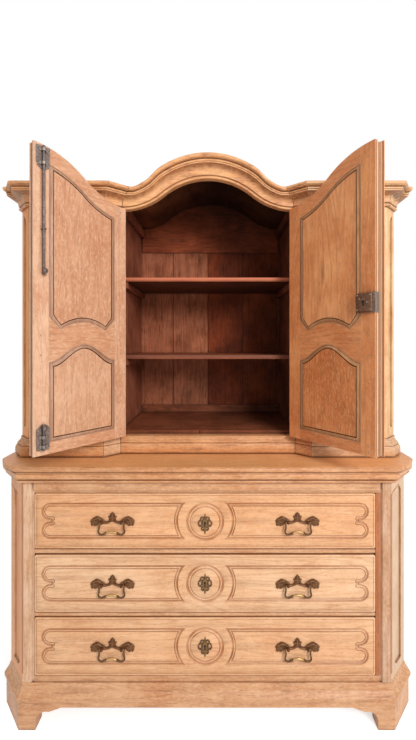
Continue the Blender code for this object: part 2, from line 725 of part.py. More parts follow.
def front_flank(name, side, root):
    """Fixed front beside the doors, with the splayed jamb that carries the hinges and a sunk field."""
    low = COMMODE_HEIGHT + BASE_HEIGHT + GAP
    high = COMMODE_HEIGHT + HEAD - GAP
    inner = FLANK_FRONT + FLANK_THICK
    outer = PILASTER - GAP
    jamb_back = DOOR_PLANE + JAMB_THICK
    plan = [(OPENING, DOOR_PLANE), (JAMB, FLANK_FRONT), (outer, FLANK_FRONT), (outer, inner)]
    plan += [(JAMB + 0.014, inner), (OPENING + 0.020, jamb_back), (OPENING, jamb_back)]
    made = prism(name, [(side * x, y) for x, y in plan], low, high, "z", OAK, root)
    field = sorted((side * (JAMB + 0.035), side * (PILASTER - 0.035)))
    sunk = (FLANK_FRONT - 0.01, FLANK_FRONT + 0.008)
    return cut(made, box(f"{name}_field", field, sunk, (low + 0.060, high - 0.060), OAK, root))


def upper_side(name, side, root):
    """Canted pilaster with its flute, and the side board behind it."""
    low = COMMODE_HEIGHT + BASE_HEIGHT + GAP
    high = COMMODE_HEIGHT + HEAD - GAP
    half = UPPER_WIDTH / 2
    plan = [(PILASTER, FLANK_FRONT), (half - UPPER_CANT, FLANK_FRONT), (half, FLANK_FRONT + UPPER_CANT)]
    plan += [(half, COMMODE_DEPTH), (half - UPPER_SIDE, COMMODE_DEPTH), (half - UPPER_SIDE, 0.170)]
    plan += [(half - 0.048, 0.140), (PILASTER, FLANK_FRONT + FLANK_THICK)]
    made = prism(name, [(side * x, y) for x, y in plan], low, high, "z", OAK, root)
    face = (half - UPPER_CANT / 2, FLANK_FRONT + UPPER_CANT / 2)
    flute = (low + 0.035, high - 0.020)
    cut(made, cant_panel(f"{name}_flute", side, face, 0.030, flute, 0.006, root))
    sunk = sorted((side * (half - SIDE_FIELD), side * (half + 0.010)))
    tall = (low + 0.070, high - 0.070)
    return cut(made, box(f"{name}_field", sunk, (0.190, COMMODE_DEPTH - 0.060), tall, OAK, root))


def partition(name, side, root):
    """Inner wall of the cupboard with the cleats that carry the shelves and the roof."""
    low = COMMODE_HEIGHT + BASE_HEIGHT + FLOOR_THICK + GAP
    high = COMMODE_HEIGHT + HEAD + CORNICE_HEIGHT - ROOF_DROP - ROOF_THICK - GAP
    front = DOOR_PLANE + CORNICE_BACK + GAP
    back = COMMODE_DEPTH - BOARD - GAP
    reach = sorted((side * PARTITION, side * (PARTITION + PARTITION_THICK)))
    wall = box(name, reach, (front, back), (low, high), DARK_OAK, root)
    ledge = sorted((side * (PARTITION - CLEAT), side * (PARTITION + 0.005)))
    for i, shelf in enumerate(SHELVES):
        top = COMMODE_HEIGHT + shelf - GAP
        run = (SHELF_FRONT + 0.006, back)
        join(wall, box(f"{name}_cleat_{i}", ledge, run, (top - 0.024, top), DARK_OAK, root))
    tall = (high - 0.045, high - 0.012)
    return join(wall, box(f"{name}_batten", ledge, (front + 0.025, back), tall, DARK_OAK, root))


def shelf(name, height, root):
    half = PARTITION - GAP
    z = (COMMODE_HEIGHT + height, COMMODE_HEIGHT + height + SHELF_THICK)
    return box(name, (-half, half), (SHELF_FRONT, COMMODE_DEPTH - BOARD - GAP), z, DARK_OAK, root)


DOOR_WIDTH = OPENING - DOOR_SIDE_GAP - DOOR_MEETING_GAP / 2
DOOR_FROM_AXIS = DOOR_SIDE_GAP - BARREL_IN  # the hinge edge, measured from the hinge axis


def door_head(u, below):
    """Height of a line under the arched head at a distance from the hinge edge, over the door's bottom."""
    return HEAD + arch(OPENING - DOOR_SIDE_GAP - u)[0] - DOOR_HEAD_GAP - below - DOOR_BOTTOM


def spread(start, end, count):
    return [start + (end - start) * i / count for i in range(count + 1)]


def door_outline():
    """Outline of a door from its hinge edge: straight foot, S-curved head rising to the meeting edge."""
    head = [(u, door_head(u, 0.0)) for u in spread(DOOR_WIDTH, 0.0, 18)]
    return [(0.0, 0.0), (DOOR_WIDTH, 0.0), *head]


def upper_panel_outline():
    """Upper panel: head parallel to the door's, foot with two points and a low arch between them."""
    left = STILE
    right = DOOR_WIDTH - STILE
    head = [(u, door_head(u, TOP_RAIL)) for u in spread(right, left, 14)]
    first = left + NOTCH_IN
    last = right - NOTCH_IN
    middle = (first + last) / 2
    sag = UPPER_PANEL_ARC - UPPER_PANEL_NOTCH
    foot = []
    for u in spread(first, last, 10):
        swing = (u - middle) / (last - middle)
        foot.append((u, UPPER_PANEL_NOTCH + sag * (1 - swing**2)))
    shoulder = [(right - 0.012, UPPER_PANEL_NOTCH + 0.013), (right, UPPER_PANEL_SHOULDER)]
    start = [(left, UPPER_PANEL_SHOULDER), (left + 0.012, UPPER_PANEL_NOTCH + 0.013)]
    return start + foot + shoulder + head


def lower_panel_outline():
    """Lower panel: square foot, bell-shaped head."""
    left = STILE
    right = DOOR_WIDTH - STILE
    middle = (left + right) / 2
    rise = LOWER_PANEL_PEAK - LOWER_PANEL_SHOULDER
    head = []
    for u in spread(right, left, 16):
        swing = math.cos(math.pi * (u - middle) / (right - left))
        head.append((u, LOWER_PANEL_SHOULDER + rise * max(swing, 0.0) ** 1.75))
    return [(left, BOTTOM_RAIL), (right, BOTTOM_RAIL), *head]


def hung(side, outline):
    """A door outline in the frame of its hinge axis."""
    return [(side * (DOOR_FROM_AXIS + u), v) for u, v in outline]


def door_frame(name, side, hinge):
    outlines = [hung(side, o) for o in (door_outline(), upper_panel_outline(), lower_panel_outline())]
    at = (0.0, BARREL_PROUD + DOOR_THICK / 2, 0.0)
    return pierced_plate(f"{name}_frame", outlines, DOOR_THICK, OAK, hinge, at)


def door_panel(name, side, outline, hinge):
    """Panel with a flat inner face and a raised field outside."""
    edge = hung(side, inset(outline, GAP))
    field = hung(side, inset(outline, PANEL_FIELD))
    front = BARREL_PROUD + PANEL_SETBACK - 0.004
    back = BARREL_PROUD + DOOR_THICK - PANEL_SETBACK
    rings = [[(x, back, z) for x, z in edge], [(x, front + 0.005, z) for x, z in edge]]
    rings.append([(x, front, z) for x, z in field])
    return skin(name, rings, OAK, hinge)


def barrel(name, low, high, finial, parent, location):
    """Half of a barrel hinge, ending in a vase finial above or below."""
    r = BARREL_RADIUS
    tall = high - low
    turned = [(r, 0.0), (r, tall), (0.6 * r, tall + 0.001)]
    turned += [(0.9 * r, tall + 0.006), (0.3 * r, tall + 0.012)]
    rings = []
    for radius, z in turned:
        height = low + z if finial > 0 else high - z
        ring = circle((location[0], location[1]), radius, 10)
        rings.append([(x, y, location[2] + height) for x, y in ring])
    return skin(name, rings, IRONWORK, parent)


def door(name, side, turn, root):
    """A door on its hinge axis: rest pose is open, as it stands."""
    axis = (side * -1 * (OPENING - BARREL_IN), DOOR_PLANE - BARREL_PROUD, COMMODE_HEIGHT + DOOR_BOTTOM)
    hinge = empty(f"{name}_hinge_axis", axis, root, turn)
    door_frame(name, side, hinge)
    door_panel(f"{name}_upper_panel", side, upper_panel_outline(), hinge)
    door_panel(f"{name}_lower_panel", side, lower_panel_outline(), hinge)
    for place, height in zip(("lower", "upper"), HINGES):
        barrel(f"{name}_{place}_knuckle", height + GAP, height + BARREL_HALF, 1, hinge, (0.0, 0.0, 0.0))
        barrel(f"{name}_{place}_pintle", height - BARREL_HALF, height - GAP, -1, root, axis)
    return hinge


def bolt_u():
    return DOOR_WIDTH - BOLT_FROM_EDGE


def bolt_depth():
    """Depth of the bolts' centre line behind the hinge axis, with the door shut."""
    return BARREL_PROUD + DOOR_THICK + GAP + IRON + ROD_RADIUS + ROD_PLAY


def bolt_x():
    return -(OPENING - BARREL_IN) + DOOR_FROM_AXIS + bolt_u()


def bolt_y():
    return DOOR_PLANE - BARREL_PROUD + bolt_depth()


def bolt_plate(name, outline, bridges, hinge):
    """Iron plate on the door's inner face with two bridges bored for the bolt."""
    face = BARREL_PROUD + DOOR_THICK + GAP
    u = DOOR_FROM_AXIS + bolt_u()
    plate = prism(name, [(u + a, z) for a, z in outline], face, face + IRON, "y", IRONWORK, hinge)
    depth = (face + IRON / 2, bolt_depth() + ROD_RADIUS + 0.0035)
    for i, z in enumerate(bridges):
        tall = (z - 0.004, z + 0.004)
        join(plate, box(f"{name}_bridge_{i}", (u - 0.009, u + 0.009), depth, tall, IRONWORK, hinge))
    bore = circle((u, bolt_depth()), ROD_RADIUS + ROD_PLAY)
    low = min(bridges) - 0.02
    high = max(bridges) + 0.02
    return cut(plate, prism(f"{name}_bore", bore, low, high, "z", IRONWORK, hinge))


def bolt(name, low, high, knob, hinge):
    """Round bolt with a turned knob that stands out from it."""
    u = DOOR_FROM_AXIS + bolt_u()
    slide = empty(f"{name}_slide", (u, bolt_depth(), low), hinge)
    rod = prism(name, circle((0.0, 0.0), ROD_RADIUS), 0.0, high - low, "z", IRONWORK, slide)
    turned = [(0.003, -0.001), (0.003, 0.005), (KNOB_RADIUS, 0.008), (KNOB_RADIUS, 0.012), (0.004, 0.014)]
    rings = []
    for radius, y in turned:
        rings.append([(x, y, z) for x, z in circle((0.0, knob - low), radius, 12)])
    return join(rod, skin(f"{name}_knob", rings, IRONWORK, slide))


def left_door_bolts(hinge):
    wide, tall = TOP_BOLT_PLATE
    head = door_head(bolt_u() - wide / 2, 0.0) - 0.004
    shield = [(-wide / 2, head), (wide / 2, head), (wide / 2, head - tall + 0.014), (0.0, head - tall)]
    shield.append((-wide / 2, head - tall + 0.014))
    bolt_plate("top_bolt_plate", shield, (head - 0.012, head - tall + 0.020), hinge)
    bolt("top_bolt", head - TOP_BOLT_LENGTH, head + 0.001, head - TOP_BOLT_LENGTH + 0.010, hinge)
    wide, tall = LOWER_BOLT_PLATE
    foot = 0.0085 + FLOOR_THICK - (DOOR_BOTTOM - BASE_HEIGHT)
    plate = [(-wide / 2, foot), (wide / 2, foot), (wide / 2, foot + tall - 0.012), (0.0, foot + tall)]
    plate.append((-wide / 2, foot + tall - 0.012))
    bolt_plate("lower_bolt_plate", plate, (foot + 0.012, foot + 0.040), hinge)
    bolt("lower_bolt", foot, foot + LOWER_BOLT_LENGTH, foot + LOWER_BOLT_LENGTH - 0.010, hinge)


def right_door_lock(hinge):
    """Rim lock on the inner face at the meeting edge, its case chamfered at the edges."""
    wide, tall = LOCK_SIZE
    face = BARREL_PROUD + DOOR_THICK + GAP
    edge = -(DOOR_FROM_AXIS + DOOR_WIDTH - 0.012)
    rings = []
    for trim, y in ((0.0, face), (0.0, face + LOCK_THICK - 0.003), (0.003, face + LOCK_THICK)):
        x = (edge + trim, edge + wide - trim)
        z = (LOCK_HEIGHT + trim, LOCK_HEIGHT + tall - trim)
        rings.append([(x[0], y, z[0]), (x[1], y, z[0]), (x[1], y, z[1]), (x[0], y, z[1])])
    return skin("lock_case", rings, IRONWORK, hinge)


def front_reach():
    """How far the open doors stand forward of the commode's front, as a Y coordinate."""
    reach = DOOR_FROM_AXIS + DOOR_WIDTH
    deep = BARREL_PROUD + DOOR_THICK
    ends = []
    for opened in (LEFT_OPEN, RIGHT_OPEN):
        turn = math.radians(opened)
        ends.append(DOOR_PLANE - BARREL_PROUD - reach * math.sin(turn) + deep * math.cos(turn))
    return min(ends)


def build():
    root = empty("buffet", (0.0, -(front_reach() + COMMODE_DEPTH) / 2, 0.0))
    commode_top(root)
    frieze_rail(root)
    openings = opening_heights()
    divider("upper_divider", openings[1][1], openings[0][0], root)
    divider("lower_divider", openings[2][1], openings[1][0], root)
    commode_plinth(root)
    commode_side("commode_left_side", -1, root)
    commode_side("commode_right_side", 1, root)
    commode_back(root)
    names = ("top_drawer", "middle_drawer", "bottom_drawer")
    for name, (low, high), *drops in zip(names, openings, MEDALLION_DROPS, ESCUTCHEON_DROPS):
        drawer(name, low, high, drops, root)
    upper_base(root)
    front_flank("left_flank", -1, root)
    front_flank("right_flank", 1, root)
    upper_side("upper_left_side", -1, root)
    upper_side("upper_right_side", 1, root)
    partition("left_partition", -1, root)
    partition("right_partition", 1, root)
    upper_back(root)
    roof(root)
    cornice(root)
    shelf("lower_shelf", SHELVES[0], root)
    shelf("upper_shelf", SHELVES[1], root)
    left = door("left_door", 1, -LEFT_OPEN, root)
    right = door("right_door", -1, RIGHT_OPEN, root)
    left_door_bolts(left)
    right_door_lock(right)


build()
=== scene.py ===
"""Two-part oak buffet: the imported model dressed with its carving, grain, ironwork and brass."""

import math

import bmesh
import bpy
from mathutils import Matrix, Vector


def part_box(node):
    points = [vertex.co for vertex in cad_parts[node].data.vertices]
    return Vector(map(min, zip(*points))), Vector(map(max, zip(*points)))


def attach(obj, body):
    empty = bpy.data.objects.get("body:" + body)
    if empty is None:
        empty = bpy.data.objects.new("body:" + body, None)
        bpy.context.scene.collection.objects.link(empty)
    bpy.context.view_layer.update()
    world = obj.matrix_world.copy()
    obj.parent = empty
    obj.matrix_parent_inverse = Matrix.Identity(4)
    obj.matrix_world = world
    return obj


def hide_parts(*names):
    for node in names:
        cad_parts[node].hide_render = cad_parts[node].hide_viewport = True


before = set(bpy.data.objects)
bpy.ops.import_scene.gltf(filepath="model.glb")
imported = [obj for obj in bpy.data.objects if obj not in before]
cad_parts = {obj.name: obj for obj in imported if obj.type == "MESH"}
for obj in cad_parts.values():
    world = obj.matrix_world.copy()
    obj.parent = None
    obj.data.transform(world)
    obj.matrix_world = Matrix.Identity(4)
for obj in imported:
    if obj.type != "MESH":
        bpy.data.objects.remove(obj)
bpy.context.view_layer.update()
bpy.context.scene.view_settings.view_transform = "Standard"


# Commode plinth: base frame on three sides with bracket feet, and the rail under the bottom drawer.
# Oak planks, bleached and waxed, cut to the ogee with a bow saw, moulded on top and pegged to the posts.

def linear(code):
    """sRGB hex to linear RGBA."""
    parts = [int(code[i:i + 2], 16) / 255 for i in (0, 2, 4)]
    return (*(c / 12.92 if c <= 0.04045 else ((c + 0.055) / 1.055) ** 2.4 for c in parts), 1.0)


def put(tree, kind, inputs, give=None, **settings):
    """Adds a node with its settings and gives one of its outputs, by default the first that is in use.

    Each input is a value, or an output of another node that is linked to it.
    """
    node = tree.nodes.new("ShaderNode" + kind)
    for key, value in settings.items():
        setattr(node, key, value)
    for key, value in inputs.items():
        if isinstance(value, bpy.types.NodeSocket):
            tree.links.new(value, node.inputs[key])
        else:
            node.inputs[key].default_value = value
    return node.outputs[give] if give else next(out for out in node.outputs if out.enabled)


def surface(name):
    """A new material: itself, its nodes, its shader and the place on the piece in metres."""
    made = bpy.data.materials.new(name)
    made.use_nodes = True
    tree = made.node_tree
    return made, tree, tree.nodes["Principled BSDF"], put(tree, "TexCoord", {}, "Object")


def oak(name, along, pale, deep, dark, rubbed="F3CFA9", grime_and_shade="5A2E17", rays=0.3, seed=0.0, polish=0.48,
        inside_shade=0.0, face=None, lip=None, sheen=0.5, streaks=0.0, outside=False, hollow=0.0,
        side_lighting=0.0, looking=(0.0, 0.0, 1.0), side_lighting_colour="F6B170", stain=None):
    """Sawn oak under old wax: growth bands, pores, ray flecks, worm holes, dirt and painted shade, rubbed
    arrises.

    Pale and deep are the two tones of the wood and dark is that of its pores; the grain runs along one axis.
    The rest is for the pieces that need it: painted shade inside and in coves, a carved face, a worn lip,
    painted light and shade on the side that looks one way, a stain.
    """
    made, tree, shader, at = surface(name)
    turn = {"x": (0.0, 0.0, 0.0), "y": (0.0, 0.0, math.pi / 2), "z": (0.0, math.pi / 2, 0.0)}[along]
    lie = put(tree, "Mapping", {"Vector": at, "Location": (seed, seed * 0.7, seed * 0.4), "Rotation": turn})
    # A growth band is 5 to 12 mm wide and runs some 400 mm before it wanders.
    stretched = put(tree, "Mapping", {"Vector": lie, "Scale": (0.09, 1.0, 1.0)})
    field = put(tree, "TexNoise", {"Vector": stretched, "Scale": 1 / 0.055, "Detail": 2.0, "Roughness": 0.45,
                                   "Distortion": 0.5})
    phase = put(tree, "Math", {0: field, 1: 58.0}, operation="MULTIPLY")
    wave = put(tree, "Math", {0: phase}, operation="SINE")
    band = put(tree, "MapRange", {"Value": wave, "From Min": -0.2, "From Max": 1.0})
    # Pores are 0.3 mm wide; they are drawn as streaks of 2.5 by 40 mm, which the picture can still show.
    pore = put(tree, "TexNoise", {"Vector": stretched, "Scale": 1 / 0.0025, "Detail": 3.0, "Roughness": 0.6})
    pore = put(tree, "MapRange", {"Value": pore, "From Min": 0.54, "From Max": 0.72})
    # Ray flecks: slanting lens shapes, 5 by 14 mm.
    slant = put(tree, "Mapping", {"Vector": lie, "Rotation": (0.9, 0.9, 1.1), "Scale": (0.36, 1.0, 1.0)})
    fleck = put(tree, "TexNoise", {"Vector": slant, "Scale": 1 / 0.005, "Detail": 2.0, "Distortion": 0.6})
    fleck = put(tree, "MapRange", {"Value": fleck, "From Min": 0.48, "From Max": 0.68, "To Max": rays})
    # Bleaching left patches of 120 mm, rosier and yellower by turns.
    patch = put(tree, "TexNoise", {"Vector": lie, "Scale": 1 / 0.12, "Detail": 3.0, "Roughness": 0.6})
    patch = put(tree, "MapRange", {"Value": patch, "From Min": 0.32, "From Max": 0.68})
    colour = put(tree, "Mix", {0: patch, 6: linear(pale), 7: linear(deep)}, data_type="RGBA")
    shade = put(tree, "Math", {0: band, 1: 0.27}, operation="MULTIPLY")
    colour = put(tree, "Mix", {0: shade, 6: colour, 7: linear(dark)}, data_type="RGBA")
    shade = put(tree, "Math", {0: pore, 1: 0.52}, operation="MULTIPLY")
    colour = put(tree, "Mix", {0: shade, 6: colour, 7: linear(dark)}, data_type="RGBA")
    colour = put(tree, "Mix", {0: fleck, 6: colour, 7: linear(rubbed)}, data_type="RGBA")
    # Veins: wandering hair lines of figure, 2 mm wide, drawn where a slow field passes its middle.
    vein = put(tree, "Mapping", {"Vector": lie, "Scale": (0.3, 1.0, 1.0)})
    vein = put(tree, "TexNoise", {"Vector": vein, "Scale": 1 / 0.026, "Detail": 3.0, "Roughness": 0.55})
    vein = put(tree, "Math", {0: vein, 1: 0.5}, operation="SUBTRACT")
    vein = put(tree, "Math", {0: vein}, operation="ABSOLUTE")
    vein = put(tree, "MapRange", {"Value": vein, "From Min": 0.014, "From Max": 0.0, "To Max": 0.45})
    vein = put(tree, "Math", {0: vein, 1: patch}, operation="MULTIPLY")
    colour = put(tree, "Mix", {0: vein, 6: colour, 7: linear(dark)}, data_type="RGBA")
    if streaks:
        # Old varnish left dark streaks along the grain, 9 by 180 mm, broken up every 60 mm.
        drawn = put(tree, "Mapping", {"Vector": lie, "Scale": (0.05, 1.0, 1.0)})
        drawn = put(tree, "TexNoise", {"Vector": drawn, "Scale": 1 / 0.009, "Detail": 4.0, "Roughness": 0.65})
        drawn = put(tree, "MapRange", {"Value": drawn, "From Min": 0.53, "From Max": 0.66})
        gaps = put(tree, "TexNoise", {"Vector": lie, "Scale": 1 / 0.06, "Detail": 3.0})
        gaps = put(tree, "MapRange", {"Value": gaps, "From Min": 0.42, "From Max": 0.60, "To Max": streaks})
        drawn = put(tree, "Math", {0: drawn, 1: gaps}, operation="MULTIPLY")
        colour = put(tree, "Mix", {0: drawn, 6: colour, 7: linear(grime_and_shade)}, data_type="RGBA")
    # Worm holes: 1.5 mm, a few to the square decimetre, drawn at 2.5 mm.
    cell = put(tree, "TexVoronoi", {"Vector": lie, "Scale": 1 / 0.045, "Randomness": 1.0})
    hole = put(tree, "MapRange", {"Value": cell, "From Min": 0.034, "From Max": 0.026, "To Max": 0.8})
    colour = put(tree, "Mix", {0: hole, 6: colour, 7: linear("3A1C0E")}, data_type="RGBA")
    # Wax and dust stay in the quirks, and shade is painted there: darker where other surfaces close in within
    # 12 mm.
    open_air = put(tree, "AmbientOcclusion", {"Distance": 0.012}, "AO", samples=6)
    dirt = put(tree, "MapRange", {"Value": open_air, "From Min": 0.88, "From Max": 0.35, "To Max": 0.85})
    colour = put(tree, "Mix", {0: dirt, 6: colour, 7: linear(grime_and_shade)}, data_type="RGBA")
    place = put(tree, "SeparateXYZ", {"Vector": at}).node.outputs
    if hollow:
        # Painted shade browns what looks down in a cove, in clouds of 15 mm.
        painted_cove_shade = put(tree, "SeparateXYZ", {"Vector": put(tree, "TexCoord", {}, "Normal")}, "Z")
        painted_cove_shade = put(tree, "MapRange", {"Value": painted_cove_shade, "From Min": -0.30, "From Max": -0.72,
                                       "To Max": hollow})
        shade_clouds = put(tree, "TexNoise", {"Vector": at, "Scale": 1 / 0.015, "Detail": 4.0})
        shade_clouds = put(tree, "MapRange", {"Value": shade_clouds, "From Min": 0.35, "From Max": 0.6, "To Min": 0.5})
        painted_cove_shade = put(tree, "Math", {0: painted_cove_shade, 1: shade_clouds}, operation="MULTIPLY")
        cove = put(tree, "Attribute", {}, "Fac", attribute_name="cove")
        painted_cove_shade = put(tree, "Math", {0: painted_cove_shade, 1: cove}, operation="MULTIPLY")
        colour = put(tree, "Mix", {0: painted_cove_shade, 6: colour, 7: linear("7E4525")}, data_type="RGBA")
    if side_lighting:
        # The side that looks one way takes a painted tone for the light on it: warm shade on the left cants,
        # pale light on the right cant and on the top, dark shade under the shelves.
        lit = put(tree, "TexCoord", {}, "Normal")
        lit = put(tree, "VectorMath", {0: lit, 1: looking}, operation="DOT_PRODUCT")
        lit = put(tree, "MapRange", {"Value": lit, "From Min": 0.8, "From Max": 0.98, "To Max": side_lighting})
        colour = put(tree, "Mix", {0: lit, 6: colour, 7: linear(side_lighting_colour)}, data_type="RGBA")
    if stain is not None:
        # A dark stain, 17 by 90 mm, frayed along the grain.
        aside = put(tree, "Math", {0: place["X"], 1: stain[0]}, operation="SUBTRACT")
        above = put(tree, "Math", {0: place["Z"], 1: stain[1]}, operation="SUBTRACT")
        aside = put(tree, "Math", {0: aside, 1: 1 / 0.0085}, operation="MULTIPLY")
        above = put(tree, "Math", {0: above, 1: 1 / 0.045}, operation="MULTIPLY")
        off = put(tree, "CombineXYZ", {"X": aside, "Y": above})
        off = put(tree, "VectorMath", {0: off}, operation="LENGTH")
        off = put(tree, "MapRange", {"Value": off, "From Min": 1.2, "From Max": 0.2, "To Max": 0.75})
        frayed = put(tree, "Math", {0: off, 1: field}, operation="MULTIPLY")
        colour = put(tree, "Mix", {0: frayed, 6: colour, 7: linear(grime_and_shade)}, data_type="RGBA")
    if face is not None:
        # Below the flat of the wood the carving is browner: brown wax kept there, and painted shade.
        deep_in = put(tree, "MapRange", {"Value": place["Y"], "From Min": face + 0.0006,
                                         "From Max": face + 0.0034, "To Max": 0.62})
        thick = put(tree, "MapRange", {"Value": patch, "To Min": 0.45, "To Max": 1.0})
        deep_in = put(tree, "Math", {0: deep_in, 1: thick}, operation="MULTIPLY")
        colour = put(tree, "Mix", {0: deep_in, 6: colour, 7: linear("A9622F")}, data_type="RGBA")
    if inside_shade:
        # Painted shade darkens the inside towards the top and the right, and more below 1.24 m, in clouds of
        # 200 mm.
        cloud = put(tree, "TexNoise", {"Vector": at, "Scale": 1 / 0.2, "Detail": 4.0, "Roughness": 0.6})
        cloud = put(tree, "MapRange", {"Value": cloud, "From Min": 0.3, "From Max": 0.7})
        across = put(tree, "MapRange", {"Value": place["X"], "From Min": -0.15, "From Max": 0.34})
        aloft = put(tree, "MapRange", {"Value": place["Z"], "From Min": 1.66, "From Max": 2.00})
        inside_shade_mask = put(tree, "Math", {0: across, 1: 0.55, 2: aloft}, operation="MULTIPLY_ADD")
        inside_shade_mask = put(tree, "Math", {0: cloud, 1: 0.5, 2: inside_shade_mask}, operation="MULTIPLY_ADD")
        dusk = put(tree, "MapRange", {"Value": place["Z"], "From Min": 1.235, "From Max": 1.16,
                                      "To Max": 0.22})
        inside_shade_mask = put(tree, "Math", {0: inside_shade_mask, 1: dusk}, operation="ADD")
        inside_shade_mask = put(tree, "MapRange", {"Value": inside_shade_mask, "From Min": 0.42, "From Max": 1.30, "To Max": inside_shade})
        if outside:
            # The side that looks up or back gets none of this painted shade.
            looks = put(tree, "SeparateXYZ", {"Vector": put(tree, "TexCoord", {}, "Normal")}).node.outputs
            looks = put(tree, "Math", {0: looks["Y"], 1: looks["Z"]}, operation="ADD")
            hidden = put(tree, "MapRange", {"Value": looks, "From Min": 0.6, "From Max": 0.2})
            inside_shade_mask = put(tree, "Math", {0: inside_shade_mask, 1: hidden}, operation="MULTIPLY")
        colour = put(tree, "Mix", {0: inside_shade_mask, 6: colour, 7: linear("1A0703")}, data_type="RGBA")
    # Hands rub the arrises pale.
    solid = put(tree, "AmbientOcclusion", {"Distance": 0.004}, "AO", samples=6, inside=True)
    worn = put(tree, "MapRange", {"Value": solid, "From Min": 0.80, "From Max": 0.35, "To Max": 0.35})
    colour = put(tree, "Mix", {0: worn, 6: colour, 7: linear(rubbed)}, data_type="RGBA")
    if lip is not None:
        # A shelf's front edge is worn by what is slid over it.
        slid = put(tree, "MapRange", {"Value": place["Y"], "From Min": lip[0] + 0.012,
                                      "From Max": lip[0] + 0.001, "To Max": 0.9})
        brow = put(tree, "MapRange", {"Value": place["Z"], "From Min": lip[1] - 0.012,
                                      "From Max": lip[1] - 0.006, "To Min": 0.25})
        slid = put(tree, "Math", {0: slid, 1: brow}, operation="MULTIPLY")
        colour = put(tree, "Mix", {0: slid, 6: colour, 7: linear(rubbed)}, data_type="RGBA")
    # Wax fills the wood but not its pores, so these are duller and sunk.
    tree.links.new(colour, shader.inputs["Base Color"])
    shader.inputs["Specular IOR Level"].default_value = sheen
    rough = put(tree, "MapRange", {"Value": pore, "To Min": polish, "To Max": polish + 0.25})
    tree.links.new(rough, shader.inputs["Roughness"])
    high = put(tree, "Math", {0: band, 1: 0.35}, operation="MULTIPLY")
    high = put(tree, "Math", {0: high, 1: pore}, operation="ADD")
    bump = put(tree, "Bump", {"Height": high, "Strength": 0.35, "Distance": 0.0007}, invert=True)
    tree.links.new(bump, shader.inputs["Normal"])
    return made


def break_arrises(made, width, angle):
    """Rounds every edge that turns by more than an angle, in degrees."""
    arris = made.modifiers.new("arris", "BEVEL")
    arris.width = width
    arris.segments = 2
    arris.limit_method = "ANGLE"
    arris.angle_limit = math.radians(angle)


def dress(name, look, edge=0.0012):
    """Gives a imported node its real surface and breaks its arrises."""
    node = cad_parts[name]
    node.data.materials.clear()
    node.data.materials.append(look)
    node.modifiers.new("one_skin", "WELD").merge_threshold = 0.00005
    break_arrises(node, edge, 35)
    node.modifiers.new("even_shading", "WEIGHTED_NORMAL").keep_sharp = True


# Oak bleached and waxed: peach to straw, low contrast, pores a shade darker, a soft sheen.
OAK_RAILS = oak("bleached_oak_rails", "x", "E0AD81", "D29566", "A26237", streaks=0.35)
dress("commode_plinth", OAK_RAILS)


# Commode sides: canted front posts with a sunk flute and a stepped bead towards the drawers, side panels and
# rear posts. Oak, stiles and panels glued and pegged; on the right unbleached oak guides the drawers,
# its brown partly painted shade.

out_left = (-0.7071, -0.7071, 0.0)  # square to the canted corners
out_right = (0.7071, -0.7071, 0.0)
# Posts of pale peach; the left cant is painted orange as warm shade. The right post is a darker copy,
# painted shade, with its cant painted pale straw as light.
OAK_POSTS = oak("bleached_oak_posts", "z", "ECC5A5", "DAA77D", "AA6F44", streaks=0.25, seed=3.0,
                side_lighting=0.65, looking=out_left, side_lighting_colour="F4A060")
# Warm brown: wood that the bleach never reached, and painted shade beside the drawers and under the flute
# stops.
OAK_BROWN = oak("unbleached_oak_and_shade", "z", "BE7447", "A9602F", "6E3A1E", rubbed="C98A5C", seed=9.0)
OAK_POSTS_RIGHT = oak("bleached_oak_right_posts", "z", "D7AF91", "C6936C", "985F38", streaks=0.25, seed=4.0,
                      side_lighting=0.35, looking=out_right, side_lighting_colour="F4DCB8")
dress("commode_left_side", OAK_POSTS)
dress("commode_right_side", OAK_POSTS_RIGHT)


def skin(rings, loop=False):
    """Points and faces over rings of equal length: capped at both ends, or closed into a loop."""
    count = len(rings[0])
    points = [p for ring in rings for p in ring]
    faces = []
    for i in range(len(rings) if loop else len(rings) - 1):
        a = i * count
        b = (i + 1) % len(rings) * count
        for j in range(count):
            k = (j + 1) % count
            faces.append((a + j, a + k, b + k, b + j))
    if not loop:
        faces.append(tuple(range(count)))
        faces.append(tuple(range(len(points) - count, len(points))))
    return points, faces


def slab(outline, low, high, axis="y"):
    """An outline drawn from the front and extruded along Y, or drawn in plan and extruded along Z."""
    if axis == "y":
        return skin([[(a, t, b) for a, b in outline] for t in (low, high)])
    return skin([[(a, b, t) for a, b in outline] for t in (low, high)])


def together(shapes):
    """Several solids as the points and faces of one piece."""
    points = []
    faces = []
    for more, round_them in shapes:
        start = len(points)
        points += more
        faces += [tuple(start + i for i in face) for face in round_them]
    return points, faces


def piece(name, shape, look, body, finish, stands_for=(), edge=0.0, crease=40, at=(0, 0, 0), turn=0.0):
    """A mesh in its place with its material, its body and the nodes that it stands for; the finish is not
    used.
    """
    mesh = bpy.data.meshes.new(name)
    mesh.from_pydata(shape[0], [], shape[1])
    work = bmesh.new()
    work.from_mesh(mesh)
    bmesh.ops.recalc_face_normals(work, faces=work.faces)
    work.to_mesh(mesh)
    work.free()
    mesh.shade_smooth()
    mesh.set_sharp_from_angle(angle=math.radians(crease))
    mesh.materials.append(look)
    made = bpy.data.objects.new(name, mesh)
    made.location = at
    made.rotation_euler = (0.0, 0.0, turn)
    bpy.context.scene.collection.objects.link(made)
    if edge:
        break_arrises(made, edge, crease)
    bpy.context.view_layer.update()
    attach(made, body)
    if stands_for:
        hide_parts(*stands_for)
    return made


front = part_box("commode_left_side")[0][1]  # plane of the commode's front
commode_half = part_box("commode_right_side")[1][0]
corner_cant = 0.0875
post_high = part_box("commode_right_side")[1][2]
post_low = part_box("commode_right_side")[0][2]
flute_deep = 0.0068
stop_shade_wide = 0.0050


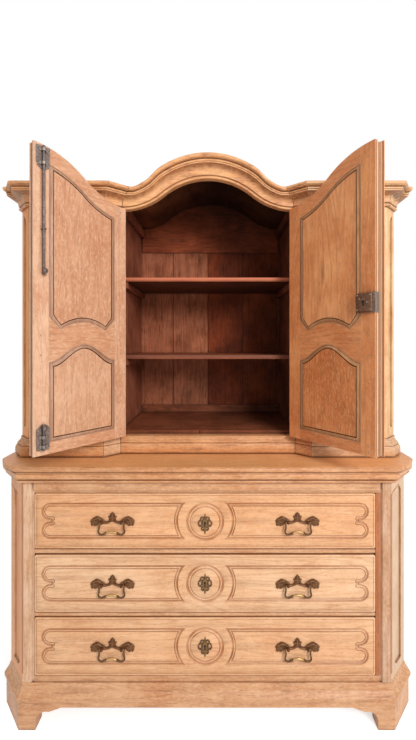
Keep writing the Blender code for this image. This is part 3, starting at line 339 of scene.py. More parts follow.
def on_cant(side, outline, low, high):
    """A slab on the canted corner of a post, drawn as (from the front arris, up), raised from low to high."""
    rings = []
    for out in (low, high):
        ring = []
        for s, z in outline:
            along = (s + out) / math.sqrt(2)
            ring.append((side * (commode_half - corner_cant + along), front + along - out * math.sqrt(2), z))
        rings.append(ring)
    return skin(rings)


# Each flute is stopped at the top by a let-in piece; a thin brown sheet along its lower edge is painted
# shade, and a thin brown line runs up the front arris.
for side, name, look, start, end, stop, quirk_top in (
        (-1, "left", OAK_POSTS, (0.050, 0.758), (0.1185, 0.7705),
         [(0.0505, 0.7585), (0.0922, 0.7655), (0.0922, 0.8040)], post_high),
        (1, "right", OAK_POSTS_RIGHT, (0.0050, 0.7715), (0.0735, 0.7840),
         [(0.0735, 0.7840), (0.0922, 0.7650), (0.0922, 0.8040)], 0.773)):
    piece(f"{name}_flute_stop", on_cant(side, stop, -flute_deep, 0.0), look, "carcase", "waxed_oak")
    drawn = [start, end, (end[0], end[1] + stop_shade_wide), (start[0], start[1] + stop_shade_wide)]
    arris = commode_half - corner_cant
    corner_line = [(arris - 0.0026, 0.0003), (arris - 0.0026, -0.0004), (arris + 0.0002, -0.0006),
                   (arris + 0.0052, 0.0044), (arris + 0.0048, 0.0052)]
    corner_line = slab([(side * x, front + y) for x, y in corner_line], post_low + 0.030, quirk_top, "z")
    stop_shade_and_arris_lines = together([on_cant(side, drawn, -0.0002, 0.0005), corner_line])
    piece(f"{name}_post_dark_lines", stop_shade_and_arris_lines, OAK_BROWN, "carcase", "waxed_oak")
drawer_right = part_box("top_drawer_front")[1][0]
post_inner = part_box("frieze_rail")[1][0]
strip_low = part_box("bottom_drawer_front")[0][2]
strip_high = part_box("top_drawer_front")[1][2]
# A brown strip beside the drawers: unbleached oak, partly painted shade.
strip = [(drawer_right + 0.0008, front + 0.0048), (post_inner + 0.0056, front + 0.0048),
         (post_inner + 0.0056, front + 0.0066), (post_inner - 0.0004, front + 0.0110),
         (drawer_right + 0.0008, front + 0.0110)]
piece("drawer_guide_strip", slab(strip, strip_low, strip_high, "z"), OAK_BROWN, "carcase", "waxed_oak",
      edge=0.0008)


# Commode back: five upright boards let into a groove, butted with a chamfer.
# Riven oak left raw.

# Raw oak: grey-brown, dull, with dark pores.
OAK_RAW = oak("raw_oak", "z", "B98B63", "9C6E48", "5E3C22", rubbed="C69B73", seed=6.0, polish=0.7)
dress("commode_back", OAK_RAW)


# Frieze rail and drawer dividers: rails between the posts, the frieze with a stepped lower edge,
# the dividers with a rounded nose. Bleached oak, tenoned into the posts.

for name in ("frieze_rail", "upper_divider", "lower_divider"):
    dress(name, OAK_RAILS, edge=0.0009)


# Commode top: one wide board with a thumbnail nose, on a cove and bead that run round three sides.
# Bleached oak, planed by hand, worn along the nose; the moulding is glued and nailed under the board.

def arc(centre, radius, start, end, count):
    """Points on an arc, angles in degrees, both ends included."""
    turns = [math.radians(start + (end - start) * i / count) for i in range(count + 1)]
    return [(centre[0] + radius * math.cos(t), centre[1] + radius * math.sin(t)) for t in turns]


def smooth(controls, steps, closed=False):
    """A Catmull-Rom curve through control points."""
    count = len(controls)
    points = []
    for i in range(count if closed else count - 1):
        near = [(i + k) % count if closed else min(max(i + k, 0), count - 1) for k in (-1, 0, 1, 2)]
        p0, p1, p2, p3 = (Vector(controls[k]) for k in near)
        for s in range(steps):
            t = s / steps
            bend = 2 * p1 + (p2 - p0) * t + (2 * p0 - 5 * p1 + 4 * p2 - p3) * t**2
            points.append(tuple((bend + (3 * p1 - p0 - 3 * p2 + p3) * t**3) / 2))
    return points if closed else points + [tuple(controls[-1])]


def commode_plan(grow, half, deep, cant, full):
    """Plan with canted front corners, grown outward at the front and sides; full breaks the cants outward."""
    corner = grow * (math.sqrt(2) - 1)
    first = Vector((half - cant + corner, -grow))
    last = Vector((half + grow, cant - corner))
    middle = (first + last) / 2 + Vector((full, -full)) / math.sqrt(2)
    right = [tuple(first), tuple(middle), tuple(last), (half + grow, deep + min(grow, 0.0))]
    return [(-x, y) for x, y in reversed(right)] + right


commode_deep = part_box("commode_right_side")[1][1] - front
top_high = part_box("commode_top")[1][2]
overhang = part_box("commode_top")[1][0] - commode_half
profile = [(-0.045, 0.028), (-0.045, 0.058), (0.0030, 0.058), (0.0080, 0.0574), (0.0112, 0.0556)]
profile += arc((0.0118, 0.0500), 0.0050, 75, -70, 8) + [(0.0130, 0.0440), (0.0150, 0.0426), (0.0205, 0.0412)]
profile += smooth([(0.0224, 0.0396), (0.0236, 0.0330), (0.0234, 0.0270), (0.0220, 0.0240)], 3)
profile += [(0.0204, 0.0228), (0.0198, 0.0212), (0.0206, 0.0197)]
profile += arc((overhang - 0.0092, 0.0094), 0.0092, 78, -88, 12)
nose_thick = 0.020
corner_full = 0.016  # how far the board breaks out at the middle of its canted corners
rings = []
for grow, down in profile:
    plan = commode_plan(grow, commode_half, commode_deep, corner_cant,
                        corner_full if down < nose_thick else 0.0)
    rings.append([(x, front + y, top_high - down) for x, y in plan])
# The top's wood is a shade oranger, and more polished; its upper side is painted lighter as light falling on
# it.
OAK_TOP = oak("bleached_oak_top", "x", "E6AA77", "D38E58", "A25E32", streaks=0.4, seed=12.0, polish=0.42,
              side_lighting=0.5)
piece("moulded_top", skin(rings), OAK_TOP, "carcase", "waxed_oak", ["commode_top"])


# Drawers: a carved oak front on a dovetailed box of stained boards.
# The front is bleached oak; a carver cut a ring round the keyhole, a hollow-ended panel on each side of it
# that ends in two lobes and a small volute, and scratched a bead round the edge.

# Stained boards: dull red-brown with nearly black pores and streaks, darkened by painted shade.
stained = {"rubbed": "B4755A", "grime_and_shade": "1D0B06", "rays": 0.05, "polish": 0.65, "sheen": 0.2}
STAINED_FLAT = oak("stained_oak_flat_boards", "x", "A0593A", "7E4226", "34150A", seed=7.0, inside_shade=0.8,
                   streaks=0.5, **stained)

panel_half = 0.0628  # half the height of the carved panels
panel_hollow = 0.0885  # radius of their hollow inner ends
panel_margin = 0.0205  # from their lobes to the drawer's end
ring_radius = 0.0645
# Profiles of the carving and of the scratched edge, as (inward, below the face).
carving = [(0.0, 0.0), (0.0008, 0.0015), (0.0024, 0.0042), (0.0046, 0.0047), (0.0060, 0.0030),
           (0.0072, 0.0010), (0.0086, 0.0003), (0.0099, 0.0010), (0.0108, 0.0030), (0.0120, 0.0033),
           (0.0131, 0.0014), (0.0138, 0.0003)]
scratched = [(0.0, 0.024), (0.0, 0.0024), (0.0007, 0.0008), (0.0022, 0.0), (0.0058, 0.0), (0.0064, 0.0013),
             (0.0072, 0.0013), (0.0080, 0.0)]


def carved_panel(d, end):
    """Outline of the right-hand panel moved inward by d: hollow inner end, two lobes, a volute between."""
    d += 0.0015
    top = panel_half - d
    hollow = panel_hollow + d
    lobe = panel_half / 2
    centre = end - lobe
    swing = math.degrees(math.asin(top / hollow))
    inner = arc((0.0, 0.0), hollow, -swing, swing, 20)
    upper = arc((centre, lobe), lobe - d, 90, -90, 20)
    lower = arc((centre, -lobe), lobe - d, 90, -90, 20)
    neck = centre - 0.55 * d
    volute = arc((neck, 0.52 * d), 0.52 * d, 80, 262, 8) + arc((neck, -0.52 * d), 0.52 * d, 98, 280, 8)
    return inner + upper + volute + lower


def rounded_front(d, half, tall):
    """Drawer's edge with small round corners, moved inward by d."""
    round_off = max(0.006 - d, 0.0012)
    x = half - d - round_off
    z = tall - d - round_off
    points = []
    for start, sx, sz in ((0, 1, 1), (90, -1, 1), (180, -1, -1), (270, 1, -1)):
        points += arc((sx * x, sz * z), round_off, start, start + 90, 5)
    return points


def carved_front(drawer, drop):
    """Mesh of one front: scratched edge, three carved outlines and the flats between them."""
    low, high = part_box(drawer + "_front")
    x0 = (low[0] + high[0]) / 2
    z0 = (low[2] + high[2]) / 2
    half = (high[0] - low[0]) / 2
    tall = (high[2] - low[2]) / 2
    face = low[1]
    work = bmesh.new()

    def run(outline, steps):
        """Rings from step to step, joined by quads: the first and the last ring."""
        rings = []
        for d, deep in steps:
            ring = []
            for x, z in outline(d):
                # The long straight cuts are faint, most of all the upper ones; elsewhere the gouge wavered.
                straight = abs(z) > panel_half - 0.017 and 0.11 < abs(x) < half - 0.055
                faint = (0.17 if z > 0 else 0.36) if straight else 0.85 + 0.15 * math.sin(47 * x + 90 * z)
                ring.append(work.verts.new((x0 + x, face + deep * (faint if deep < 0.01 else 1.0), z0 + z)))
            rings.append(ring)
        for a, b in zip(rings, rings[1:]):
            for i in range(len(a)):
                k = (i + 1) % len(a)
                work.faces.new((a[i], a[k], b[k], b[i]))
        return rings[0], rings[-1]

    def flat(*loops):
        """Fills the flat between closed rings of points."""
        edges = [work.edges.get((ring[i], ring[i - 1])) for ring in loops for i in range(len(ring))]
        bmesh.ops.triangle_fill(work, use_beauty=True, edges=edges, normal=(0.0, -1.0, 0.0))

    back, ground = run(lambda d: rounded_front(d, half, tall), scratched)
    work.faces.new(back)
    end = half - panel_margin
    right = run(lambda d: carved_panel(d, end), carving)
    left = run(lambda d: [(-x, z) for x, z in carved_panel(d, end)], carving)
    ring = run(lambda d: arc((0.0, -drop), ring_radius - 1.25 * d, 0, 354.375, 63), carving)
    flat(ground, right[0], left[0], ring[0])
    for carved in (right, left, ring):
        flat(carved[1])
    mesh = bpy.data.meshes.new("carved")
    work.to_mesh(mesh)
    work.free()
    points = [tuple(v.co) for v in mesh.vertices]
    faces = [tuple(p.vertices) for p in mesh.polygons]
    bpy.data.meshes.remove(mesh)
    return points, faces


# The fronts are the palest wood, honey to cream, with brown wax and painted shade in the carving.
# The top one's ring sits 3 mm low.
drawers = {"top_drawer": (0.003, "F1B988", "E8A976"), "middle_drawer": (0.0, "F5C79C", "E7B284"),
           "bottom_drawer": (0.0, "F1BE90", "E4A979")}
for i, (drawer, (drop, pale, deep)) in enumerate(drawers.items()):
    look = oak(f"bleached_oak_{drawer}", "x", pale, deep, "B87444", seed=20.0 + 3 * i,
               face=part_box(drawer + "_front")[0][1])
    piece(f"{drawer}_carved_front", carved_front(drawer, drop), look, drawer, "waxed_oak",
          [f"{drawer}_front"], crease=50)
    dress(f"{drawer}_box", STAINED_FLAT, edge=0.0008)


# Drop handles: a cast backplate with a pointed leaf, scrolls like a moustache and a fan of leaves at each
# end, two posts, and a bail that swings on pins in them. Brass, sand cast and chased, brown with age;
# the grip is rubbed bright by hands.

def cast_brass(name, bright, deep, bare_metal, grip=False):
    """Old brass: brown patina in the hollows, bare yellow metal where it is handled."""
    made, tree, shader, at = surface(name)
    # Patina varies over 6 mm, the sand of the mould is 0.5 mm and is drawn at 0.8 mm.
    cloud = put(tree, "TexNoise", {"Vector": at, "Scale": 1 / 0.006, "Detail": 3.0})
    cloud = put(tree, "MapRange", {"Value": cloud, "From Min": 0.35, "From Max": 0.65})
    sand = put(tree, "TexNoise", {"Vector": at, "Scale": 1 / 0.0008, "Detail": 2.0})
    colour = put(tree, "Mix", {0: cloud, 6: linear(bright), 7: linear(deep)}, data_type="RGBA")
    solid = put(tree, "AmbientOcclusion", {"Distance": 0.003}, "AO", samples=6, inside=True)
    bare = put(tree, "MapRange", {"Value": solid, "From Min": 0.75, "From Max": 0.25, "To Max": 0.5})
    if grip:
        # Hands keep the grip bright, 15 mm to each side of its middle.
        across = put(tree, "SeparateXYZ", {"Vector": at}, "X")
        across = put(tree, "Math", {0: across}, operation="ABSOLUTE")
        held = put(tree, "MapRange", {"Value": across, "From Min": 0.0185, "From Max": 0.0150})
        bare = put(tree, "Math", {0: bare, 1: held}, operation="MAXIMUM")
    colour = put(tree, "Mix", {0: bare, 6: colour, 7: linear(bare_metal)}, data_type="RGBA")
    open_air = put(tree, "AmbientOcclusion", {"Distance": 0.004}, "AO", samples=6)
    dirt = put(tree, "MapRange", {"Value": open_air, "From Min": 0.7, "From Max": 0.2, "To Max": 0.85})
    colour = put(tree, "Mix", {0: dirt, 6: colour, 7: linear("22120A")}, data_type="RGBA")
    tree.links.new(colour, shader.inputs["Base Color"])
    rough = put(tree, "MapRange", {"Value": bare, "To Min": 0.55, "To Max": 0.32})
    tree.links.new(rough, shader.inputs["Roughness"])
    shader.inputs["Metallic"].default_value = 0.55
    bump = put(tree, "Bump", {"Height": sand, "Strength": 0.3, "Distance": 0.0003})
    tree.links.new(bump, shader.inputs["Normal"])
    return made


def moved(outline, distance):
    """A closed outline moved inward; sharp corners are held back."""
    area = sum(a[0] * b[1] - b[0] * a[1] for a, b in zip(outline, outline[1:] + outline[:1]))
    side = 1.0 if area > 0 else -1.0
    result = []
    for i, here in enumerate(outline):
        before = (Vector(here) - Vector(outline[i - 1])).normalized()
        after = (Vector(outline[(i + 1) % len(outline)]) - Vector(here)).normalized()
        turned = Vector((-before.y - after.y, before.x + after.x)) * side
        reach = 2.0 / max(turned.length_squared, 1.6)
        result.append(tuple(Vector(here) + turned * distance * reach))
    return result


def cast_plate(outline, thick):
    """A plate with rounded edges on its face: y runs out from the drawer, towards minus."""
    steps = [(0.0, 0.0), (0.0, 0.55), (0.0003, 0.82), (0.0007, 0.96), (0.0011, 1.0)]
    return skin([[(x, -thick * up, z) for x, z in moved(outline, d)] for d, up in steps])


def ridge(controls, widths, rise, base):
    """A rounded rib that follows a path on a cast face and tapers with its widths."""
    path = smooth(controls, 5)
    rings = []
    for i, here in enumerate(path):
        run = Vector(path[min(i + 1, len(path) - 1)]) - Vector(path[max(i - 1, 0)])
        across = Vector((-run.y, run.x)).normalized()
        t = i / (len(path) - 1) * (len(widths) - 1)
        k = min(int(t), len(widths) - 2)
        wide = widths[k] + (widths[k + 1] - widths[k]) * (t - k)
        ring = []
        for a, out in arc((0.0, 0.0), 1.0, 0, 180, 6):
            at = Vector(here) + across * a * wide / 2
            ring.append((at.x, -base - rise * out * min(1.0, wide / max(widths) + 0.25), at.y))
        rings.append(ring)
    return skin(rings)


def rod(path, radii, count=12, closed=False):
    """A round bar along a path in space, with a radius for each point."""
    rings = []
    last = len(path) - 1
    for i, here in enumerate(path):
        ahead = Vector(path[(i + 1) % len(path)] if closed else path[min(i + 1, last)])
        run = (ahead - Vector(path[i - 1] if closed or i else path[0])).normalized()
        aside = Vector((0.0, 1.0, 0.0)) if abs(run.y) < 0.9 else Vector((1.0, 0.0, 0.0))
        side = run.cross(aside).normalized()
        other = run.cross(side)
        rings.append([tuple(Vector(here) + (side * a + other * b) * radii[i])
                      for a, b in arc((0.0, 0.0), 1.0, 0, 360 - 360 / count, count - 1)])
    return skin(rings, closed)


def flipped(shape):
    """The mirror image of a shape, left for right."""
    return [(-x, y, z) for x, y, z in shape[0]], shape[1]


plate_half = [(0.0, 0.0302), (0.0032, 0.0268), (0.0078, 0.0223), (0.0072, 0.0190), (0.0098, 0.0172),
              (0.0144, 0.0155), (0.0118, 0.0118), (0.0108, 0.0078), (0.0116, 0.0034), (0.0160, 0.0000),
              (0.0220, -0.0010), (0.0272, 0.0006), (0.0330, 0.0062), (0.0410, 0.0124), (0.0500, 0.0158),
              (0.0568, 0.0152), (0.0602, 0.0118), (0.0655, 0.0100), (0.0710, 0.0042), (0.0743, -0.0008),
              (0.0708, -0.0030), (0.0722, -0.0080), (0.0704, -0.0130), (0.0670, -0.0160), (0.0634, -0.0134),
              (0.0600, -0.0150), (0.0555, -0.0163), (0.0500, -0.0124), (0.0455, -0.0084), (0.0405, -0.0066),
              (0.0358, -0.0072), (0.0310, -0.0092), (0.0230, -0.0093), (0.0140, -0.0070), (0.0066, -0.0036),
              (0.0, -0.0008)]
plate_outline = smooth(plate_half + [(-x, z) for x, z in reversed(plate_half[1:-1])], 3, closed=True)
plate_thick = 0.0030
rib_base = 0.0024  # the ribs start inside the plate
scroll = ridge([(0.004, -0.0005), (0.012, -0.0035), (0.023, -0.0052), (0.030, -0.0030), (0.037, 0.0030),
                (0.044, 0.0085), (0.051, 0.0105), (0.0575, 0.0078), (0.0595, 0.0020), (0.0560, -0.0022),
                (0.0510, -0.0010), (0.0505, 0.0025)],
               [0.0030, 0.0062, 0.0062, 0.0055, 0.0045, 0.0030, 0.0018], 0.0024, rib_base)
leaves = [ridge(path, widths, rise, rib_base) for path, widths, rise in (
    ([(0.059, 0.006), (0.066, 0.0050), (0.0728, -0.0006)], [0.0035, 0.0050, 0.0012], 0.0018),
    ([(0.058, 0.001), (0.065, -0.0020), (0.0705, -0.0085)], [0.0035, 0.0052, 0.0014], 0.0020),
    ([(0.056, -0.003), (0.062, -0.0075), (0.0666, -0.0142)], [0.0035, 0.0052, 0.0014], 0.0020),
    ([(0.051, -0.003), (0.054, -0.0090), (0.0556, -0.0148)], [0.0032, 0.0048, 0.0014], 0.0018),
    ([(0.001, 0.0120), (0.007, 0.0135), (0.0132, 0.0154)], [0.0030, 0.0034, 0.0010], 0.0014))]
midrib = ridge([(0.0, 0.0), (0.0, 0.010), (0.0, 0.020), (0.0, 0.0285)], [0.0040, 0.0052, 0.0044, 0.0008],
               0.0020, rib_base)
plate_post = 0.033  # from the plate's middle to its posts
post_turned = [(0.0062, 0.0022), (0.0062, 0.0036), (0.0046, 0.0046), (0.0042, 0.0064), (0.0050, 0.0078),
               (0.0052, 0.0130), (0.0046, 0.0160), (0.0030, 0.0178), (0.0010, 0.0184)]
post = skin([[(plate_post + x, -out, z) for x, z in arc((0.0, 0.0), r, 0, 345, 23)]
             for r, out in post_turned])
bail_half = [(plate_post - 0.004, 0.0), (plate_post + 0.0070, 0.0), (0.0425, -0.0040), (0.0405, -0.0100),
             (0.0412, -0.0190), (0.0432, -0.0280), (0.0414, -0.0350), (0.0345, -0.0392), (0.0272, -0.0382),
             (0.0213, -0.0362), (0.0165, -0.0335), (0.0085, -0.0308)]
bail_path = smooth(bail_half + [(0.0, -0.0298)] + [(-x, z) for x, z in reversed(bail_half)], 6)
grip_half = 0.0185  # the swollen grip ends there, between two pairs of collars
bail_radii = []
for x, z in bail_path:
    thick = 0.0021 + 0.0008 * min(1.0, abs(z) / 0.012)
    if z < -0.025 and abs(x) < grip_half:
        thick = 0.0030 + 0.0009 * math.cos(x / grip_half * math.pi / 2)
    for collar, swell in ((0.0195, 0.0026), (0.0245, 0.0016)):
        if z < -0.030:
            thick += swell * math.exp(-((abs(x) - collar) / 0.0011) ** 2)
    bail_radii.append(thick)
bail_shape = rod([(x, 0.0, z) for x, z in bail_path], bail_radii, 14)
# Plates: brown, nearly copper; bails: the same with a bright yellow grip.
BRASS = cast_brass("cast_brass_plates", "70421F", "4A2A16", "8C643A")
BRASS_HELD = cast_brass("cast_brass_bails", "74522F", "523620", "C09A62", grip=True)
backplate = [cast_plate(plate_outline, plate_thick), midrib, scroll, post, *leaves]
backplate = together(backplate + [flipped(part) for part in (scroll, post, *leaves)])
for drawer in drawers:
    low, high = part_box(drawer + "_front")
    middle = (low[2] + high[2]) / 2
    for side in ("left", "right"):
        low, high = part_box(f"{drawer}_{side}_plate")
        piece(f"{drawer}_{side}_backplate", backplate, BRASS, drawer, "aged_brass",
              [f"{drawer}_{side}_plate"], at=((low[0] + high[0]) / 2, high[1], middle))
        low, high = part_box(f"{drawer}_{side}_bail")
        piece(f"{drawer}_{side}_drop_handle", bail_shape, BRASS_HELD, f"{drawer.split('_')[0]}_{side}_bail",
              "aged_brass", [f"{drawer}_{side}_bail"], crease=60,
              at=((low[0] + high[0]) / 2, (low[1] + high[1]) / 2, middle))


# Escutcheons: a cast lace of six loops round the keyhole with a leaf above and a drop below.
# Brass, pierced and filed, pinned over the keyhole, which shows black.

wire = 0.0017


def loop(centre, wide, tall):
    """A flat oval ring of round wire."""
    path = [(centre[0] + wide * x, -0.0016, centre[1] + tall * z) for x, z in arc((0, 0), 1.0, 0, 345, 23)]
    return rod(path, [wire] * len(path), 8, closed=True)


lace = []
for x, z, wide, tall in ((0.0092, 0.0165, 0.0056, 0.0060), (0.0160, 0.0012, 0.0062, 0.0098),
                         (0.0068, -0.0166, 0.0052, 0.0054)):
    lace += [loop((x, z), wide, tall), loop((-x, z), wide, tall)]
lace += [ridge([(0.0, 0.012), (0.0004, 0.020), (0.0, 0.0345)], [0.0060, 0.0072, 0.0008], 0.0022, 0.0002),
         ridge([(0.0, -0.012), (0.0, -0.022), (0.0, -0.029), (0.0, -0.0345)],
               [0.0050, 0.0040, 0.0058, 0.0010], 0.0022, 0.0002)]
middle_plate = smooth([(0.0, 0.0150), (0.0072, 0.0100), (0.0078, 0.0), (0.0058, -0.0100), (0.0, -0.0150),
                       (-0.0058, -0.0100), (-0.0078, 0.0), (-0.0072, 0.0100)], 5, closed=True)
lace.append(cast_plate(middle_plate, 0.0018))
keyhole = arc((0.0, 0.0035), 0.0036, -55, 235, 16) + [(-0.0020, -0.0095), (0.0020, -0.0095)]
# Painted shade of a keyhole: a nearly black sheet where the hole is, varied in clouds of 2.5 mm.
KEYHOLE_SHADE, tree, shader, at = surface("keyhole_shadow")
shade_clouds = put(tree, "TexNoise", {"Vector": at, "Scale": 1 / 0.0025})
shade_clouds = put(tree, "Mix", {0: shade_clouds, 6: linear("0A0604"), 7: linear("1A0E08")}, data_type="RGBA")
tree.links.new(shade_clouds, shader.inputs["Base Color"])
shader.inputs["Roughness"].default_value = 0.9
# The lace is darker than the plates, and rubbed yellow on the loops.
BRASS_LACE = cast_brass("cast_brass_escutcheons", "5E3E20", "3C2412", "A88450")
for drawer in drawers:
    low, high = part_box(f"{drawer}_escutcheon")
    seat = ((low[0] + high[0]) / 2, high[1], (low[2] + high[2]) / 2)
    piece(f"{drawer}_pierced_escutcheon", together(lace), BRASS_LACE, drawer, "aged_brass",
          [f"{drawer}_escutcheon"], at=seat)
    # A black sheet on the escutcheon stands for the keyhole's shade.
    piece(f"{drawer}_keyhole", slab(keyhole, -0.0023, -0.0010), KEYHOLE_SHADE, drawer, "aged_brass", at=seat)


# Base of the upper cupboard: a plinth with an ogee on its top edge, broken forward under the flanks,
# and floor boards behind it. Bleached oak outside, stained boards inside.

plan_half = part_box("upper_right_side")[1][0]
flank_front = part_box("right_flank")[0][1]
opening = -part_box("left_flank")[1][0]  # half the width between the flanks
door_plane = front + 0.129  # front of what runs between the flanks, under and over the doors
jamb = 0.3725  # where the splayed jambs meet the flanks' fronts
upper_cant = 0.045
back_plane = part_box("upper_back")[1][1]


def mitres(path):
    """At each vertex of an open plan path, the vector that moves it outward by one."""
    normals = []
    for a, b in zip(path, path[1:]):
        run = (Vector(b) - Vector(a)).normalized()
        normals.append(Vector((run.y, -run.x)))
    turns = [(n1 + n2) / (1 + n1.dot(n2)) for n1, n2 in zip(normals, normals[1:])]
    return [normals[0], *turns, normals[-1]]


base_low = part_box("upper_base")[0][2]
base_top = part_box("left_flank")[0][2]
floor_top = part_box("left_partition")[0][2]


def base_plan(grow, cant):
    """Plan of the plinth, its corners canted like the pilasters on it."""
    right = [(opening, door_plane), (jamb, flank_front), (plan_half - cant, flank_front),
             (plan_half, flank_front + cant), (plan_half, back_plane)]
    outward = mitres([(0.0, door_plane), *right])[1:]
    right = [(x + grow * m.x, y + grow * m.y) for (x, y), m in zip(right, outward)]
    return [(-x, y) for x, y in reversed(right)] + right


# Profile of the plinth from its inner side round to the top: (outward, width of the cant, height).
base_steps = [(-0.028, 0.045, base_top), (-0.028, 0.045, base_low), (0.0090, 0.031, base_low)]
base_steps += [(o, cant, base_low + up) for o, cant, up in (
    (0.0116, 0.030, 0.003), (0.0136, 0.029, 0.010), (0.0142, 0.028, 0.018))]
base_steps += [(o, cant, base_top - down) for o, cant, down in (
    (0.0136, 0.028, 0.0340), (0.0118, 0.029, 0.0280), (0.0104, 0.030, 0.0256), (0.0076, 0.031, 0.0250),
    (0.0092, 0.032, 0.0238), (0.0098, 0.033, 0.0205), (0.0086, 0.035, 0.0168), (0.0060, 0.037, 0.0138),
    (0.0036, 0.039, 0.0112), (0.0024, 0.041, 0.0076), (0.0016, 0.042, 0.0044), (0.0034, 0.043, 0.0036),
    (0.0034, 0.043, 0.0))]
joint_deep = 0.0020
joint_half = 0.0010


def mitred_run(stations, first, last, outside):
    """A run of moulding between two stations, sunk in a groove at both ends so that the open joint shows."""
    rings = [list(ring) for ring in stations[first:last + 1]]
    ends = []
    for end, beside in ((0, 1), (-1, -2)):
        ring = rings[end]
        core = sum((Vector(p) for k, p in enumerate(ring) if k not in outside), Vector())
        core /= len(ring) - len(outside)
        ends.append([tuple(Vector(p) + (core - Vector(p)).normalized() * joint_deep) if k in outside else p
                     for k, p in enumerate(ring)])
        rings[end] = [tuple(Vector(p) + (Vector(q) - Vector(p)).normalized() * joint_half)
                      for p, q in zip(ring, rings[beside])]
    return skin([ends[0], *rings, ends[1]])


stations = list(zip(*[[(x, y, z) for x, y in base_plan(grow, cant)] for grow, cant, z in base_steps]))
# Plinth of orange oak with dark streaks; some runs are paler and greyer.
OAK_BASE = oak("bleached_oak_cupboard_plinth", "x", "E3A36C", "D18D55", "9F5C2A", streaks=0.4, seed=16.0)
OAK_BASE_PALE = oak("bleached_oak_pale_plinth", "x", "E2B488", "D0A074", "9A6A42", streaks=0.5, seed=17.0)
OAK_BASE_SIDES = oak("bleached_oak_plinth_sides", "y", "E3A36C", "D18D55", "9F5C2A", streaks=0.4, seed=14.0)
base_runs = {"left_side": OAK_BASE_SIDES, "left_cant": OAK_BASE, "left_flank": OAK_BASE,
             "left_splay": OAK_BASE_PALE, "front": OAK_BASE, "right_splay": OAK_BASE,
             "right_flank": OAK_BASE_PALE, "right_cant": OAK_BASE_PALE, "right_side": OAK_BASE_SIDES}
for i, (name, look) in enumerate(base_runs.items()):
    run = mitred_run(stations, i, i + 1, range(2, len(base_steps)))
    piece(f"cupboard_plinth_{name}", run, look, "carcase", "waxed_oak",
          ["upper_base"] if name == "front" else (), crease=30)
floor_front = door_plane + 0.0286
floor_back = back_plane - 0.0185
socket = -0.0285  # the lower bolt shoots into a round notch in a board's edge
socket_radius = 0.0058
notch = arc((socket, front + 0.1633), socket_radius, 180, 360, 8)
boards = [-0.618, -0.33, -0.112, 0.108, 0.33, 0.618]
board_gap = 0.0004  # half of the gap between two floor boards
for i, (a, b) in enumerate(zip(boards, boards[1:])):
    a += board_gap
    b -= board_gap
    board = [(a, floor_front)]
    if a < socket < b:
        board += [(socket - socket_radius, floor_front), *notch, (socket + socket_radius, floor_front)]
    board += [(b, floor_front), (b, floor_back), (a, floor_back)]
    piece(f"floor_board_{i + 1}", slab(board, base_top - 0.006, floor_top, "z"), STAINED_FLAT, "carcase",
          "stained_oak", edge=0.0008)


# Sides and flanks of the upper cupboard: canted pilasters with a flute, framed side boards, and the fixed
# fronts beside the doors with their splayed jambs. Bleached oak, oranger than the commode, grooved and glued.

# Straw to honey, paler on the right as painted light; the left pilaster is painted a strong orange as warm
# shade.
OAK_BODY = oak("bleached_oak_cupboard", "z", "F2CA97", "E0A76D", "AE6F38", streaks=0.3, seed=15.0)
OAK_BODY_LEFT = oak("bleached_oak_cupboard_left", "z", "F2C38C", "E0A165", "AE6B33", streaks=0.3, seed=13.0,
                    side_lighting=0.8, looking=out_left, side_lighting_colour="FF9E4C")
for name, look in (("left_flank", OAK_BODY_LEFT), ("upper_left_side", OAK_BODY_LEFT),
                   ("right_flank", OAK_BODY), ("upper_right_side", OAK_BODY)):
    dress(name, look)


# Inside of the cupboard: partitions with cleats, two shelves, upright back boards under an arched board,
# and a vault of staves. Oak stained red-brown and dulled by use; the shelves' front edges are worn pink.

# Partitions: rosier than the flat boards, nearly black at the top with painted shade.
STAINED = oak("stained_oak_partitions", "z", "AC674B", "864A33", "3C190D", seed=5.0, inside_shade=0.9, streaks=0.4,
              **stained)
for name in ("left_partition", "right_partition"):
    dress(name, STAINED, edge=0.001)
# Shelves: redder, with a lip worn to pink, and nearly black underneath with painted shade.
shelf_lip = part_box("upper_shelf")[0][1]
for name, worn in (("lower_shelf", "7B4C3A"), ("upper_shelf", "D07A58")):
    look = oak(f"stained_oak_{name}", "x", "A85A36", "864025", "3A1406", rubbed=worn, grime_and_shade="1D0B06",
               rays=0.05, seed=7.0, polish=0.6, inside_shade=0.7, lip=(shelf_lip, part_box(name)[1][2]), sheen=0.25,
               side_lighting=0.8, looking=(0.0, 0.0, -1.0), side_lighting_colour="2C140C")
    dress(name, look, edge=0.0018)

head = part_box("cornice")[0][2]
arch_rise = 0.114
cornice_tall = 0.073


def arch(x):
    """Height of the arched head over its ends and its slope: two equal arcs that meet halfway."""
    radius = (opening**2 + arch_rise**2) / (4 * arch_rise)
    x = max(-opening, min(opening, x))
    if abs(x) <= opening / 2:
        return arch_rise - radius + math.sqrt(radius**2 - x**2), -math.asin(x / radius)
    run = opening - abs(x)
    return radius - math.sqrt(radius**2 - run**2), -math.copysign(math.asin(run / radius), x)


def over_arch(x, above):
    """Point at a distance square to the arched head: (x, height over the head's ends)."""
    rise, slope = arch(x)
    return x - above * math.sin(slope), rise + above * math.cos(slope)


def between(start, end, count):
    """Evenly spaced values from start to end."""
    return [start + (end - start) * i / count for i in range(count + 1)]


def vault_height(x, above):
    """Height of the vault's line over a point of the back."""
    if abs(x) >= opening:
        return head + above
    low, high = -opening, opening
    for _ in range(30):
        middle = (low + high) / 2
        if over_arch(middle, above)[0] < x:
            low = middle
        else:
            high = middle
    return head + over_arch(low, above)[1]


roof_top = cornice_tall - 0.001
under_roof = roof_top - 0.014
back_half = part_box("upper_back")[1][0]
back_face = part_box("upper_back")[0][1]
joints = [-back_half, -0.512, -0.345, -0.178, -0.011, 0.156, 0.323, 0.490, back_half]
